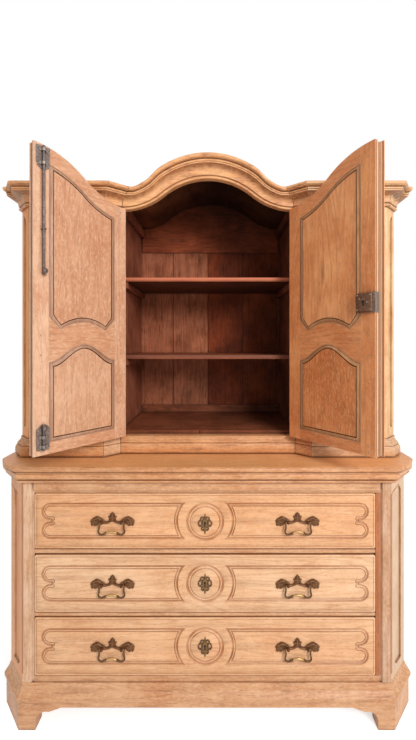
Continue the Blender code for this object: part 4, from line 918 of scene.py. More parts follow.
# Back boards in three tones, rosy to red-brown, with painted shade towards the top and the right.
board_order = (1, 2, 0, 0, 2, 1, 0, 1)
BOARDS = []
for k, (pale, deep) in enumerate((("C27654", "9C5736"), ("AE5429", "843A18"), ("9A441D", "702E10"))):
    BOARDS.append(oak(f"stained_oak_back_{k + 1}", "z", pale, deep, "3A1406", rubbed="B4755A", grime_and_shade="140602",
                      rays=0.05, seed=50.0 + 4 * k, polish=0.65, inside_shade=0.95, sheen=0.2, streaks=0.5,
                      outside=True))
shrunk = 0.0012  # half of the open joint between two boards
clear = 0.0004  # between the boards and the vault
for i, (a, b) in enumerate(zip(joints, joints[1:])):
    a += shrunk
    b -= shrunk
    outline = [(x, vault_height(x, under_roof) - clear) for x in between(a, b, 8)]
    outline += [(b, base_low + 0.001), (a, base_low + 0.001)]
    piece(f"back_board_{i + 1}", slab(outline, back_face + 0.006, back_plane - 0.0052),
          BOARDS[board_order[i]], "carcase", "stained_oak", ["upper_back"] if i == 0 else (), edge=0.0012)
lath_half = 0.016
for i, x in enumerate(joints[1:-1]):
    foot = base_low + 0.01
    top = vault_height(x, under_roof) - 0.020
    lath = [(x - lath_half, foot), (x + lath_half, foot), (x + lath_half, top), (x - lath_half, top)]
    piece(f"back_lath_{i + 1}", slab(lath, back_plane - 0.005, back_plane), OAK_RAW, "carcase", "stained_oak",
          edge=0.001)
inner_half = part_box("right_partition")[0][0] + 0.012
arched = [(x, vault_height(x, under_roof) - clear) for x in between(-inner_half, inner_half, 40)]
arched += [(inner_half, head - 0.056), (-inner_half, head - 0.056)]
# The arched board is the reddest, with long dark streaks and painted shade.
STAINED_ARCH = oak("stained_oak_arched_board", "x", "B45A36", "8E4222", "34150A", seed=11.0, inside_shade=0.8,
                   streaks=0.6, **stained)
foot = floor_top + 0.0002
top = floor_top + 0.034
rail = [(-inner_half, foot), (inner_half, foot), (inner_half, top), (-inner_half, top)]
for name, outline, look in (("arched_back_board", arched, STAINED_ARCH),
                            ("low_back_rail", rail, STAINED_FLAT)):
    piece(name, slab(outline, back_face, back_face + 0.0058), look, "carcase", "stained_oak", edge=0.0012)

# Staves: brown, and black below with painted shade.
OAK_STAVES = oak("stained_oak_staves", "y", "8C5433", "6A3A20", "2C1107", rubbed="A06A48", grime_and_shade="0A0301",
                 rays=0.0, seed=8.0, polish=0.7, inside_shade=0.92, sheen=0.2, outside=True)
roof_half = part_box("roof")[1][0]
roof_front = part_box("roof")[0][1]
stops = between(-opening, opening, 30)
for i in range(10):
    spans = stops[3 * i:3 * i + 4]
    spans = [spans[0] + 0.00005, *spans[1:3], spans[3] - 0.00005]
    outline = [over_arch(x, roof_top) for x in spans] + [over_arch(x, under_roof) for x in reversed(spans)]
    stave = slab([(x, head + z) for x, z in outline], roof_front, back_plane)
    piece(f"vault_stave_{i + 1}", stave, OAK_STAVES, "carcase", "stained_oak", ["roof"] if i == 0 else (),
          edge=0.0012)
for hand, side in (("left", -1), ("right", 1)):
    for name, a, b in (("inner", opening + clear, 0.49), ("outer", 0.4908, roof_half)):
        flat = [(side * a, head + under_roof), (side * b, head + under_roof), (side * b, head + roof_top),
                (side * a, head + roof_top)]
        piece(f"roof_board_{hand}_{name}", slab(flat, roof_front, back_plane), OAK_STAVES, "carcase",
              "stained_oak", edge=0.0008)


# Cornice: entablature and head rail in one, breaking forward over the flanks, an S-curve over the doors.
# Bleached oak, worked with hollow and round planes: bead, cove, corona, a reed and a worn torus on top.
# The runs are mitred and glued; the joints have opened a little, and painted shade browns the cove's
# down-facing faces.

cornice_profile = [(0.0030, 0.0), (0.0055, 0.0)] + arc((0.0062, 0.0050), 0.0046, -80, 80, 8)
cornice_profile += [(0.0066, 0.0104), (0.0070, 0.0114), (0.0098, 0.0122)]
cove = [len(cornice_profile)]
cornice_profile += smooth([(0.0112, 0.0136), (0.0120, 0.0190), (0.0130, 0.0250), (0.0152, 0.0310),
                           (0.0196, 0.0368), (0.0256, 0.0412), (0.0312, 0.0438)], 2)
cove.append(len(cornice_profile))
cornice_profile += [(0.0338, 0.0444), (0.0348, 0.0450), (0.0348, 0.0480), (0.0340, 0.0490),
                    (0.0362, 0.0500), (0.0376, 0.0526), (0.0376, 0.0550), (0.0364, 0.0572), (0.0358, 0.0580)]
cornice_profile += [(0.0395 + 0.0105 * a, 0.0664 + 0.0084 * b) for a, b in arc((0.0, 0.0), 1.0, -105, 88, 14)]
step_back = 0.049  # from the flank's front to the second step at the corner
door_rebate = (0.012, 0.016)  # depth and height of the ledge behind the bead
cornice_back = 0.030


def corner(o, up):
    """The three turns of the right-hand corner: canted like the pilaster, a facet and a second step above."""
    cant = o * (math.sqrt(2) - 1)
    slope = o / math.sqrt(2)
    below = [(plan_half - upper_cant + cant, flank_front - o),
             (plan_half - upper_cant / 2 + slope, flank_front + upper_cant / 2 - slope),
             (plan_half + o, flank_front + upper_cant - cant)]
    second = flank_front + step_back - o
    above = [(plan_half - 0.0212 + 0.406 * o, flank_front - o), (plan_half - 0.0095 + 0.88 * o, second),
             (plan_half + 0.0231 + 0.474 * o, second)]
    t = min(max((up - 0.034) / 0.0104, 0.0), 1.0)  # the one goes over into the other in the cove's upper part
    return [tuple(Vector(a) * (1 - t) + Vector(b) * t) for a, b in zip(below, above)]


def eased(t):
    """From 0 to 1 with a soft start and end."""
    t = min(max(t, 0.0), 1.0)
    return t * t * (3 - 2 * t)


def over_doors(x, o, up):
    """A point of the profile over the doors; the crown of the arch is a little fuller, its foot flatter."""
    crown = 0.0
    if abs(x) < 0.6 * opening:
        crown = 0.0058 * max(0.0, math.cos(math.pi * x / opening / 1.2)) ** 2
    px, pz = over_arch(x, up + crown * (0.35 + 0.65 * up / cornice_tall))
    # The foot of the arch keeps clear of the break.
    drawn_in = 0.83 * max(o, 0.0) / opening * (px / opening) ** 6
    px *= 1 - drawn_in
    pz -= 0.0080 * eased((0.292 - abs(px)) / 0.030) * eased((abs(px) - 0.170) / 0.045) * up / cornice_tall
    return px, door_plane - o, head + pz


def around(half, middle):
    """A whole line of the cornice from its right half and the part over the doors."""
    return [(-x, y, z) for x, y, z in reversed(half)] + middle + half


arch_steps = 96
over_opening = between(-opening, opening, arch_steps)
line = []
for o, up in cornice_profile:
    half = [(jamb - 0.65 * o, flank_front - o), *corner(o, up)]
    half.append((half[-1][0], back_plane))
    line.append(around([(x, y, head + up) for x, y in half], [over_doors(x, o, up) for x in over_opening]))
for d, up in ((cornice_back, cornice_tall), (cornice_back, door_rebate[1]), door_rebate,
              (door_rebate[0], 0.0)):
    y = door_plane + d
    x = plan_half - d
    half = [(jamb, y), (x - 0.02, y), (x - 0.01, y + 0.01), (x, y + 0.02), (x, back_plane)]
    line.append(around([(x, y, head + up) for x, y in half], [over_doors(x, -d, up) for x in over_opening]))
stations = list(zip(*line))
# Honey-coloured with long dark streaks and painted shade browning the cove;
# the right end is paler and yellower as painted light.
OAK_CORNICE = oak("bleached_oak_cornice", "x", "F2B67C", "E19D66", "AC662E", streaks=0.55, seed=18.0,
                  polish=0.42, hollow=0.6)
OAK_CORNICE_LIT = oak("bleached_oak_cornice_painted_light", "x", "EFBF89", "DEA571", "AA6C34", streaks=0.55,
                        seed=18.0, polish=0.42, hollow=0.6)
OAK_CORNICE_SIDES = oak("bleached_oak_cornice_sides", "y", "F2B67C", "E19D66", "AC662E", streaks=0.55,
                        seed=19.0, hollow=0.6)
cornice_runs = {"left_side": OAK_CORNICE_SIDES, "left_block": OAK_CORNICE, "left_facet": OAK_CORNICE,
                "left_flank": OAK_CORNICE, "left_splay": OAK_CORNICE, "arch": OAK_CORNICE,
                "right_splay": OAK_CORNICE, "right_flank": OAK_CORNICE_LIT,
                "right_facet": OAK_CORNICE_LIT, "right_block": OAK_CORNICE_LIT,
                "right_side": OAK_CORNICE_SIDES}
at = 0
for name, look in cornice_runs.items():
    to = at + (arch_steps if name == "arch" else 1)
    run = mitred_run(stations, at, to, range(len(cornice_profile)))
    run = piece(f"cornice_{name}", run, look, "carcase", "waxed_oak", ["cornice"] if name == "arch" else (),
                crease=34)
    # The cove's faces are marked to take the painted shade.
    cove_shade_faces = [float(cove[0] <= face.index % len(line) < cove[1]) for face in run.data.polygons]
    run.data.attributes.new("cove", "FLOAT", "FACE").data.foreach_set("value", cove_shade_faces)
    at = to


# Doors: stiles and rails mortised and pegged round two panels with raised fields, a moulding stuck along the
# inner edges. Bleached oak; the left door is quarter-sawn, the right one plainer, with a meeting batten.

# Left door: rosy beige with a lively ray figure. Right door: plainer, a stain, a curly panel;
# its browner, oranger colour is painted warm shade.
OAK_LEFT = oak("quartered_oak_left_stiles", "z", "E9BA98", "DAA27E", "AF764F", rays=0.4, seed=31.0)
OAK_LEFT_HINGE = oak("quartered_oak_left_hinge_stile", "z", "DEAA88", "D0936E", "A66842", rays=0.4, seed=32.0)
OAK_LEFT_RAILS = oak("quartered_oak_left_rails", "x", "DBA47E", "CD8D64", "A2643C", rays=0.35, seed=33.0)
OAK_LEFT_PANELS = (oak("quartered_oak_left_upper_panel", "z", "D69E79", "C88A63", "A0623D",
                       rays=0.34, seed=35.0),
                   oak("quartered_oak_left_lower_panel", "z", "DDAA86", "CF9670", "A66C48",
                       rays=0.34, seed=36.0))
OAK_RIGHT = oak("plain_oak_right_stiles", "z", "E7995D", "D37E44", "9F5222", rays=0.15, seed=41.0)
OAK_RIGHT_RAILS = oak("plain_oak_right_rails", "x", "E4985F", "CF7C44", "9A5022", rays=0.15, seed=43.0)
OAK_RIGHT_PANELS = (oak("plain_oak_right_upper_panel", "z", "F0A66B", "D8864B", "9E5527",
                        rays=0.1, seed=45.0, stain=(-0.1396, 0.573)),
                    oak("curly_oak_right_lower_panel", "z", "D7854A", "C16A31", "853F16",
                        rubbed="EDB27C", rays=0.4, seed=46.0))
door_wide = 0.321
door_tall = 0.822  # at the hinge edge; the arched head adds to it
door_thick = 0.027
door_play = 0.0015  # between the door and the end of the arched head
hinge_play = 0.0005  # between the hinge's axis and the door's edge
proud = 0.0057  # from the hinge's axis to the outer face
stile = 0.052
head_rail = 0.055
foot_rail = 0.041
stuck = 0.0060  # part of the frame's width that the moulding takes
inner_edge = stile - stuck
shoulder = 0.421  # where the upper panel's sides end
cut = (0.012, 0.4065)  # halfway down the straight cut below them: from the side, and up
point = (0.031, 0.385)  # the point where the cut ends
foot_arch = 0.026  # rise of the low arch between the points
bell_foot = 0.273  # where the lower panel's sides end
bell_rise = 0.055


def door_head(u, below):
    """Height of a line under the arched head at a distance from the hinge edge, over the door's foot."""
    return door_tall + arch(opening - door_play - u)[0] - below


def upper_foot(e):
    """Foot of the upper panel's opening grown by e, left to right: a low arch with a point at each end."""
    first = stile + point[0]
    last = door_wide - first
    middle = door_wide / 2
    line = []
    for u in between(first, last, 20):
        line.append((u, point[1] - 1.05 * e + foot_arch * (1 - ((u - middle) / (last - middle)) ** 2)))
    start = [(stile - e, shoulder - 0.35 * e), (stile + cut[0] - 0.7 * e, cut[1] - 0.6 * e)]
    return start + line + [(door_wide - u, v) for u, v in reversed(start)]


def lower_head(e):
    """Bell-shaped head of the lower panel's opening grown by e, from left to right."""
    line = []
    for u in between(stile - e, door_wide - stile + e, 32):
        swing = math.cos(math.pi * (u - door_wide / 2) / (door_wide - 2 * stile + 2 * e))
        line.append((u, bell_foot + e + bell_rise * max(swing, 0.0) ** 1.75))
    return line


def upper_opening(e):
    """Outline of the upper panel's opening grown by e."""
    line = between(door_wide - stile + e, stile - e, 28)
    return upper_foot(e) + [(u, door_head(u, head_rail - e)) for u in line]


def lower_opening(e):
    """Outline of the lower panel's opening grown by e."""
    return [(stile - e, foot_rail - e), (door_wide - stile + e, foot_rail - e)] + lower_head(e)[::-1]


# Inside, the moulding stands 2.6 mm proud between two quirks, round a raised field; outside it is an ovolo.
panel_face = door_thick - 0.0124
sticking = [(stuck, door_thick), (0.0032, door_thick), (0.0029, door_thick - 0.0011),
            (0.0023, door_thick - 0.0012), (0.0019, door_thick - 0.0005), (-0.0010, door_thick + 0.0006),
            (-0.0034, door_thick + 0.0020), (-0.0050, door_thick + 0.0026), (-0.0058, door_thick + 0.0026),
            (-0.0062, door_thick + 0.0020), (-0.0066, door_thick - 0.0030), (-0.0066, panel_face),
            (0.0, 0.0092), (0.0012, 0.0078), (0.0024, 0.0050), (0.0038, 0.0026), (stuck - 0.0012, 0.0012),
            (stuck - 0.0005, 0.0)]
field_inset = 0.0087
field_proud = 0.0010
peg_in = 0.022  # from the door's edge to the pegs
peg_radius = 0.0034
# Mouldings greyer and darker than the frames, with old wax and dust and with painted shade; darkest in the
# quirks.
OAK_LEFT_MOULD = oak("grimed_and_shaded_oak_left_mouldings", "z", "C49679", "AE8063", "80563C", rubbed="CBA080",
                     grime_and_shade="5A2416", rays=0.0, seed=37.0)
OAK_RIGHT_MOULD = oak("grimed_and_shaded_oak_right_mouldings", "z", "C08A5C", "AC7446", "6E4224", rubbed="CB9668",
                      grime_and_shade="5A180A", rays=0.0, seed=47.0)
# The red-brown sheets in the meeting edges' grooves are painted shade; the batten's back is painted
# nearly cream as a highlight.
GROOVE_SHADE = oak("red_painted_groove_shade", "z", "823C22", "6B2C15", "471C0C", rubbed="A8623C", rays=0.05, seed=48.0)
BATTEN_HIGHLIGHT = oak("oak_batten_painted_highlight", "z", "FFDCB4", "FACFA2", "D6A272", grime_and_shade="E0B080", rays=0.1, seed=49.0)
OAK_ARRIS = oak("waxed_oak_arris", "z", "B77948", "A86436", "7F4220", rubbed="C08A5C", rays=0.05, seed=50.0)
hung_at = {}  # for each door, where the frame of its hinge stands and how far it is turned
# Each door with its hand, how far it stands open in degrees, the groove in its meeting edge, and its woods.
for door, sign, opened, (near, far), (stiles, rails, panels, mouldings, hinge_wood) in (
        ("left_door", 1, -131, (0.0035, 0.0175),
         (OAK_LEFT, OAK_LEFT_RAILS, OAK_LEFT_PANELS, OAK_LEFT_MOULD, OAK_LEFT_HINGE)),
        ("right_door", -1, 129, (0.0022, 0.0100),
         (OAK_RIGHT, OAK_RIGHT_RAILS, OAK_RIGHT_PANELS, OAK_RIGHT_MOULD, OAK_RIGHT))):
    low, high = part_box(f"{door}_lower_pintle")
    hung_at[door] = {"at": ((low[0] + high[0]) / 2, (low[1] + high[1]) / 2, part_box(f"{door}_frame")[0][2]),
                     "turn": math.radians(opened)}

    def hang(name, shape, look, **more):
        """A piece of the door, drawn as (from the hinge edge, from the outer face, up)."""
        points = [(sign * (u - hinge_play), proud + y, v) for u, y, v in shape[0]]
        piece(name, (points, shape[1]), look, door, "waxed_oak", **more, **hung_at[door])

    def upright(plan):
        """A stile: its plan from the door's foot up to the arched head."""
        return skin([[(u, y, 0.0) for u, y in plan], [(u, y, door_head(u, 0.0)) for u, y in plan]])

    def edge_strip(name, plan, look, foot=0.003, below=0.002):
        """A thin strip up the meeting edge, drawn as (past the edge, from the outer face)."""
        plan = [(door_wide + u, y) for u, y in plan]
        hang(name, slab(plan, foot, door_head(door_wide, below), "z"), look)

    hinge_plan = [(u, 0.0) for u in between(0.0, inner_edge, 6)]
    hinge_plan += [(u, door_thick) for u in between(inner_edge, 0.0, 6)]
    free = between(door_wide - inner_edge, door_wide, 6)
    groove = [(door_wide, near), (door_wide - 0.0025, near + 0.0005), (door_wide - 0.0025, far - 0.0005),
              (door_wide, far)]
    meeting_plan = [(u, 0.0) for u in free] + groove + [(u, door_thick) for u in reversed(free)]
    right = door_wide - inner_edge
    top = [(u, door_head(u, 0.0)) for u in between(inner_edge, right, 28)]
    top += [(u, door_head(u, head_rail - stuck)) for u in between(right, inner_edge, 28)]
    middle = lower_head(stuck) + upper_foot(stuck)[::-1]
    foot = [(inner_edge, 0.0), (right, 0.0), (right, foot_rail - stuck), (inner_edge, foot_rail - stuck)]
    hang(f"{door}_hinge_stile", upright(hinge_plan), hinge_wood, stands_for=[f"{door}_frame"], edge=0.0007,
         crease=30)
    hang(f"{door}_meeting_stile", upright(meeting_plan), stiles, edge=0.0007, crease=30)
    for name, outline in (("top", top), ("middle", middle), ("bottom", foot)):
        hang(f"{door}_{name}_rail", slab(outline, 0.0, door_thick), rails, edge=0.0007, crease=30)
    openings = {"upper": upper_opening, "lower": lower_opening}
    for name, outline in openings.items():
        loops = skin([[(u, y, v) for u, v in outline(e)] for e, y in sticking], loop=True)
        hang(f"{door}_{name}_moulding", loops, mouldings, crease=35)
    for (name, outline), look in zip(openings.items(), panels):
        dress(f"{door}_{name}_panel", look, edge=0.0008)
        raised = slab(outline(-field_inset), panel_face, door_thick + field_proud)
        hang(f"{door}_{name}_raised_field", raised, look, edge=0.0010, crease=30)
    pegs = []
    for u in (peg_in, door_wide - peg_in):
        for v in (0.012, 0.030, 0.300, 0.360, door_head(u, 0.020), door_head(u, 0.042)):
            rim = [(u + a, v + b) for a, b in arc((0, 0), peg_radius, 0, 330, 11)]
            pegs.append(slab(rim, -0.0003, door_thick + 0.0003))
    hang(f"{door}_pegs", together(pegs), mouldings)
    if door == "right_door":
        lath = [(door_wide - 0.016, -0.0005), (door_wide - 0.016, -0.0040), (door_wide - 0.0135, -0.0048)]
        lath += arc((door_wide - 0.002, -0.0060), 0.0085, 205, 335, 10)
        lath += [(door_wide + 0.0095, -0.0048), (door_wide + 0.0120, -0.0040), (door_wide + 0.0120, -0.0005)]
        batten = skin([[(u, y, 0.002) for u, y in lath],
                       [(u, y, door_head(min(u, door_wide), 0.0)) for u, y in lath]])
        hang("meeting_batten", batten, OAK_RIGHT, crease=30)
        # A cream strip on the batten's back: a painted highlight.
        edge_strip("batten_back_painted_highlight", [(0.0003, -0.0007), (0.0064, -0.0007), (0.0064, -0.0003),
                                           (0.0003, -0.0003)], BATTEN_HIGHLIGHT)
        edge_strip("right_door_pale_edge", [(-0.0003, 0.0104), (0.0003, 0.0107), (0.0003, 0.0177),
                                            (-0.0003, 0.0180)], OAK_LEFT)
        edge_strip("batten_fillet", [(0.0066, -0.0007), (0.0117, -0.0007), (0.0117, -0.0003),
                                     (0.0066, -0.0003)], OAK_BROWN)
        edge_strip("right_door_waxed_arris", [(-0.0004, 0.0182), (0.0003, 0.0186), (0.0003, 0.0258),
                                              (-0.0004, 0.0264)], OAK_ARRIS, foot=0.002)
    # A red-brown sheet in the groove: painted shade.
    groove_shade_sheet = [(-0.0026, near + 0.0009), (-0.0020, near + 0.0009), (-0.0020, far - 0.0009),
              (-0.0026, far - 0.0009)]
    edge_strip(f"{door}_edge_groove_shade", groove_shade_sheet, GROOVE_SHADE, foot=0.001, below=0.001)


# Hinges, bolts and lock: barrel hinges with vase finials, two sliding bolts on the left door and a rim lock
# on the right one. Forged iron, filed, gone dark and a little rusty; nailed and screwed to the inner faces.

def forged_iron(name, bright, deep, rust):
    """Forged iron: dark scale, grey where it is rubbed, specks of rust."""
    made, tree, shader, at = surface(name)
    # Scale clouds over 8 mm; pits and rust specks are 1 to 2 mm.
    cloud = put(tree, "TexNoise", {"Vector": at, "Scale": 1 / 0.008, "Detail": 4.0})
    cloud = put(tree, "MapRange", {"Value": cloud, "From Min": 0.35, "From Max": 0.65})
    speck = put(tree, "TexNoise", {"Vector": at, "Scale": 1 / 0.0022, "Detail": 3.0})
    spots = put(tree, "MapRange", {"Value": speck, "From Min": 0.52, "From Max": 0.68, "To Max": 0.8})
    colour = put(tree, "Mix", {0: cloud, 6: linear(bright), 7: linear(deep)}, data_type="RGBA")
    colour = put(tree, "Mix", {0: spots, 6: colour, 7: linear(rust)}, data_type="RGBA")
    solid = put(tree, "AmbientOcclusion", {"Distance": 0.003}, "AO", samples=6, inside=True)
    bare = put(tree, "MapRange", {"Value": solid, "From Min": 0.75, "From Max": 0.3, "To Max": 0.5})
    colour = put(tree, "Mix", {0: bare, 6: colour, 7: linear("A59B92")}, data_type="RGBA")
    open_air = put(tree, "AmbientOcclusion", {"Distance": 0.006}, "AO", samples=6)
    dirt = put(tree, "MapRange", {"Value": open_air, "From Min": 0.75, "From Max": 0.25, "To Max": 0.8})
    colour = put(tree, "Mix", {0: dirt, 6: colour, 7: linear("20140E")}, data_type="RGBA")
    tree.links.new(colour, shader.inputs["Base Color"])
    rough = put(tree, "MapRange", {"Value": spots, "To Min": 0.42, "To Max": 0.75})
    tree.links.new(rough, shader.inputs["Roughness"])
    shader.inputs["Metallic"].default_value = 0.7
    bump = put(tree, "Bump", {"Height": speck, "Strength": 0.4, "Distance": 0.0005})
    tree.links.new(bump, shader.inputs["Normal"])
    return made


def turned(profile, count=20):
    """A turned piece about the Z axis from (radius, height) points."""
    return skin([[(x, y, z) for x, y in arc((0, 0), r, 0, 360 - 360 / count, count - 1)] for r, z in profile])


# Iron of the bolts: grey and rubbed; of the hinges and the lock: browned by rust and wax.
IRON = forged_iron("forged_iron", "7F716B", "5E504A", "5F3F2E")
IRON_BROWN = forged_iron("browned_iron", "7A5A45", "5E3F2E", "55301C")
iron_face = proud + door_thick + 0.0003
half_barrel = [(0.0044, 0.0), (0.0050, 0.0006), (0.0050, 0.0050), (0.0047, 0.0056), (0.0050, 0.0062),
               (0.0050, 0.0288), (0.0046, 0.0296), (0.0030, 0.0302), (0.0028, 0.0312), (0.0040, 0.0330),
               (0.0046, 0.0350), (0.0040, 0.0372), (0.0024, 0.0392), (0.0016, 0.0410), (0.0004, 0.0418)]
for door in hung_at:
    for place in ("lower", "upper"):
        low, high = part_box(f"{door}_{place}_knuckle")
        axis = ((low[0] + high[0]) / 2, (low[1] + high[1]) / 2)
        piece(f"{door}_{place}_hinge_knuckle", turned(half_barrel), IRON_BROWN, door, "wrought_iron",
              [f"{door}_{place}_knuckle"], at=(*axis, low[2]))
        upside = [(r, -z) for r, z in half_barrel]
        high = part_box(f"{door}_{place}_pintle")[1]
        piece(f"{door}_{place}_hinge_pintle", turned(upside), IRON_BROWN, "carcase", "wrought_iron",
              [f"{door}_{place}_pintle"], at=(*axis, high[2]))

bolt_in = 0.028  # from the meeting edge to the bolts
bolt_u = door_wide - hinge_play - bolt_in
shield_thick = 0.0025
rod_radius = 0.0040
rod_depth = iron_face + shield_thick + rod_radius + 0.0005


def nail(u, v, out):
    """A domed nail head on the inner face."""
    steps = [(0.0030, 0.0), (0.0027, 0.0007), (0.0016, 0.0013), (0.0003, 0.0015)]
    return skin([[(u + x, out + up, v + z) for x, z in arc((0, 0), r, 0, 324, 9)] for r, up in steps])


def strap(u, v, tall, reach):
    """A bent iron strap over a bolt: an arched band with two feet."""
    base = iron_face + shield_thick
    out = rod_depth - base
    outer = [(-0.0120, 0.0), (-0.0120, 0.0016), (-0.0078, 0.0018)]
    outer += arc((0.0, out), reach + 0.0016, 180, 0, 10)
    outer += [(0.0078, 0.0018), (0.0120, 0.0016), (0.0120, 0.0)]
    inner = [(0.0062, 0.0)] + arc((0.0, out), reach, 0, 180, 10) + [(-0.0062, 0.0)]
    return skin([[(u + a, base + b, v + z) for a, b in outer + inner] for z in (-tall / 2, tall / 2)])


def knob(u, v):
    """A turned button that stands out from the bolt."""
    profile = [(0.0030, 0.002), (0.0026, 0.0055), (0.0040, 0.0062), (0.0074, 0.0078), (0.0080, 0.0098),
               (0.0076, 0.0118), (0.0060, 0.0130), (0.0050, 0.0128), (0.0040, 0.0136), (0.0010, 0.0140)]
    return skin([[(u + x, rod_depth + out, v + z) for x, z in arc((0, 0), r, 0, 342, 19)]
                 for r, out in profile])


def shield(level, outline, straps, nails):
    """A bolt's plate with two straps and four nails, their heights given over one level of the door."""
    shapes = [slab([(bolt_u + a, level + v) for a, v in outline], iron_face, iron_face + shield_thick)]
    shapes += [strap(bolt_u, level + v, 0.009, 0.0048) for v in straps]
    return together(shapes + [nail(bolt_u + a, level + v, iron_face + shield_thick) for a, v in nails])


def bolt(heights, tip, button):
    """A sliding bolt: a round rod with eased ends and its button."""
    shaft = [(bolt_u, rod_depth, v) for v in heights]
    return together([rod(shaft, [tip, rod_radius, rod_radius, 0.0034], 16), knob(bolt_u, button)])


plate_head = door_head(door_wide - bolt_in - 0.020, 0.0) - 0.004
tall_plate = [(-0.020, 0.0), (0.020, 0.0005), (0.020, -0.050), (0.0165, -0.055), (0.0180, -0.060),
              (0.0090, -0.0655), (0.0, -0.072), (-0.0090, -0.0655), (-0.0180, -0.060), (-0.0165, -0.055),
              (-0.020, -0.050)]
tall_plate = shield(plate_head, tall_plate, (-0.012, -0.052),
                    ((-0.015, -0.006), (0.015, -0.006), (-0.015, -0.044), (0.015, -0.044)))
piece("top_bolt_shield", tall_plate, IRON, "left_door", "wrought_iron", ["top_bolt_plate"], edge=0.0004,
      **hung_at["left_door"])
rod_low = plate_head - 0.385
long_rod = bolt((rod_low, rod_low + 0.004, plate_head - 0.004, plate_head + 0.0008), 0.0034, rod_low + 0.010)
piece("top_bolt_rod", long_rod, IRON, "top_bolt", "wrought_iron", ["top_bolt"], **hung_at["left_door"])
staple_high = plate_head - 0.248
staple = [(bolt_u + 0.0066 * a, rod_depth + 0.0066 * b, staple_high)
          for a, b in arc((0, 0), 1.0, -60, 240, 16)]
staple = [(bolt_u + 0.0034, iron_face - 0.002, staple_high), *staple,
          (bolt_u - 0.0034, iron_face - 0.002, staple_high)]
piece("rod_staple", rod(staple, [0.0012] * len(staple), 8), IRON, "left_door", "wrought_iron",
      **hung_at["left_door"])

foot_low = 0.0155
low_plate = [(-0.019, 0.003), (-0.016, 0.0), (0.016, 0.0), (0.019, 0.003), (0.019, 0.062), (0.0165, 0.067),
             (0.0120, 0.070), (0.006, 0.0755), (0.0, 0.078), (-0.008, 0.0755), (-0.0150, 0.071),
             (-0.019, 0.064)]
low_plate = shield(foot_low, low_plate, (0.012, 0.040),
                   ((-0.0145, 0.006), (0.0145, 0.006), (-0.0145, 0.060), (0.0145, 0.060)))
piece("lower_bolt_shield", low_plate, IRON, "left_door", "wrought_iron", ["lower_bolt_plate"], edge=0.0004,
      **hung_at["left_door"])
short_rod = bolt((foot_low, foot_low + 0.004, foot_low + 0.074, foot_low + 0.078), 0.0032, foot_low + 0.068)
piece("lower_bolt_rod", short_rod, IRON, "lower_bolt", "wrought_iron", ["lower_bolt"], **hung_at["left_door"])

edge_x = -(door_wide - hinge_play)
lock_right = edge_x + 0.0025
lock_low = 0.429
lock_wide = 0.054
lock_tall = 0.058
case_steps = [(0.0, 0.0), (0.0, 0.0022), (0.0016, 0.0030), (0.0016, 0.0130), (0.0032, 0.0152),
              (0.0060, 0.0160)]
rings = []
for trim, out in case_steps:
    x0, x1 = lock_right + trim, lock_right + lock_wide - trim
    z0, z1 = lock_low + trim, lock_low + lock_tall - trim
    rings.append([(x, iron_face + out, z) for x, z in ((x0, z0), (x1, z0), (x1, z1), (x0, z1))])
shapes = [skin(rings)]
for a, b in ((0.007, 0.007), (0.047, 0.007), (0.007, 0.051), (0.047, 0.051), (0.016, 0.029), (0.040, 0.040)):
    shapes.append(nail(lock_right + a, lock_low + b, iron_face + 0.0154))
ward = arc((lock_right + 0.027, lock_low + 0.031), 0.0042, -50, 230, 14)
ward += [(lock_right + 0.0250, lock_low + 0.018), (lock_right + 0.0290, lock_low + 0.018)]
piece("rim_lock_case", together(shapes), IRON_BROWN, "right_door", "wrought_iron", ["lock_case"], edge=0.0005,
      **hung_at["right_door"])
# A black sheet on the lock stands for its keyhole's shade.
piece("rim_lock_keyhole", slab(ward, iron_face + 0.0150, iron_face + 0.0163), KEYHOLE_SHADE, "right_door",
      "wrought_iron", **hung_at["right_door"])
forend = [(lock_right - 0.0002, iron_face), (lock_right - 0.0002, iron_face + 0.0016),
          (edge_x - 0.0007, iron_face + 0.0016), (edge_x - 0.0007, iron_face - 0.020),
          (edge_x - 0.0001, iron_face - 0.020), (edge_x - 0.0001, iron_face)]
piece("rim_lock_forend", slab(forend, lock_low - 0.002, lock_low + lock_tall + 0.002, "z"), IRON,
      "right_door", "wrought_iron", edge=0.0003, **hung_at["right_door"])


# Floor, light and camera: a plain pale floor, a large soft lamp high on the right, and the photograph's
# level view from in front with its lens shifted.

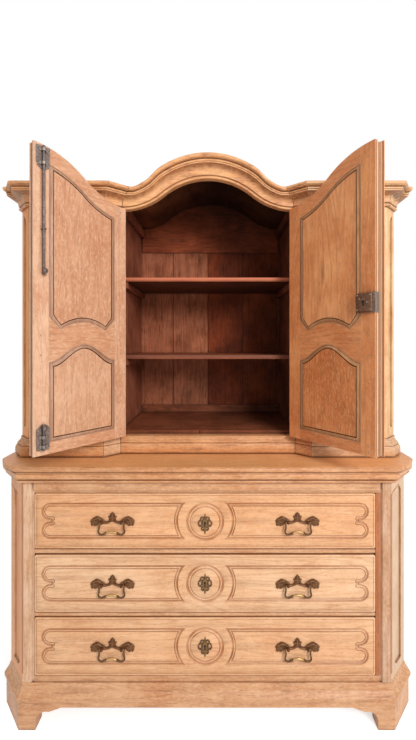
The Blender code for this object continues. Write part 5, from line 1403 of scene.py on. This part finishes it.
def looked_at(tree):
    """1 where the camera, a mirror or glass looks at it, 0 for the light it gives the object."""
    path = put(tree, "LightPath", {}).node.outputs
    seen = put(tree, "Math", {0: path["Is Camera Ray"], 1: path["Is Glossy Ray"]}, operation="MAXIMUM")
    return put(tree, "Math", {0: seen, 1: path["Is Transmission Ray"]}, operation="MAXIMUM")


floor_mesh = bpy.data.meshes.new("floor")
floor_mesh.from_pydata([(-20, -20, 0), (20, -20, 0), (20, 20, 0), (-20, 20, 0)], [], [(0, 1, 2, 3)])
floor = bpy.data.objects.new("floor", floor_mesh)
bpy.context.scene.collection.objects.link(floor)
# Matt paint, nearly white; it glows a little to the eye, so that it runs into the background.
paint = bpy.data.materials.new("pale_floor")
paint.use_nodes = True
tree = paint.node_tree
glow = put(tree, "Math", {0: looked_at(tree), 1: 0.60}, operation="MULTIPLY")
shader = tree.nodes["Principled BSDF"]
shader.inputs["Base Color"].default_value = linear("F3F2F0")
shader.inputs["Roughness"].default_value = 0.9
shader.inputs["Emission Color"].default_value = (1.0, 1.0, 1.0, 1.0)
tree.links.new(glow, shader.inputs["Emission Strength"])
floor_mesh.materials.append(paint)

world = bpy.data.worlds.new("studio")
world.use_nodes = True
bpy.context.scene.world = world
tree = world.node_tree
strength = put(tree, "MapRange", {"Value": looked_at(tree), "To Min": 0.44, "To Max": 1.0})
tree.links.new(strength, tree.nodes["Background"].inputs["Strength"])
tree.nodes["Background"].inputs["Color"].default_value = (1.0, 1.0, 1.0, 1.0)

softbox = bpy.data.lights.new("key", "AREA")
softbox.size = 1.6
softbox.energy = 135
key = bpy.data.objects.new("key", softbox)
key.location = (1.9, -3.6, 2.9)
key.rotation_euler = (Vector((0.0, 0.0, 1.0)) - key.location).to_track_quat("-Z", "Y").to_euler()
bpy.context.scene.collection.objects.link(key)

camera = bpy.data.cameras.new("camera")
camera.sensor_width = 36
camera.lens = 17.416
camera.shift_x = -0.0135
camera.shift_y = -0.0365
eye = bpy.data.objects.new("camera", camera)
eye.location = (0.037, -1.388, 1.2765)
eye.rotation_euler = (math.pi / 2, 0.0, 0.0)
bpy.context.scene.collection.objects.link(eye)
bpy.context.scene.camera = eye
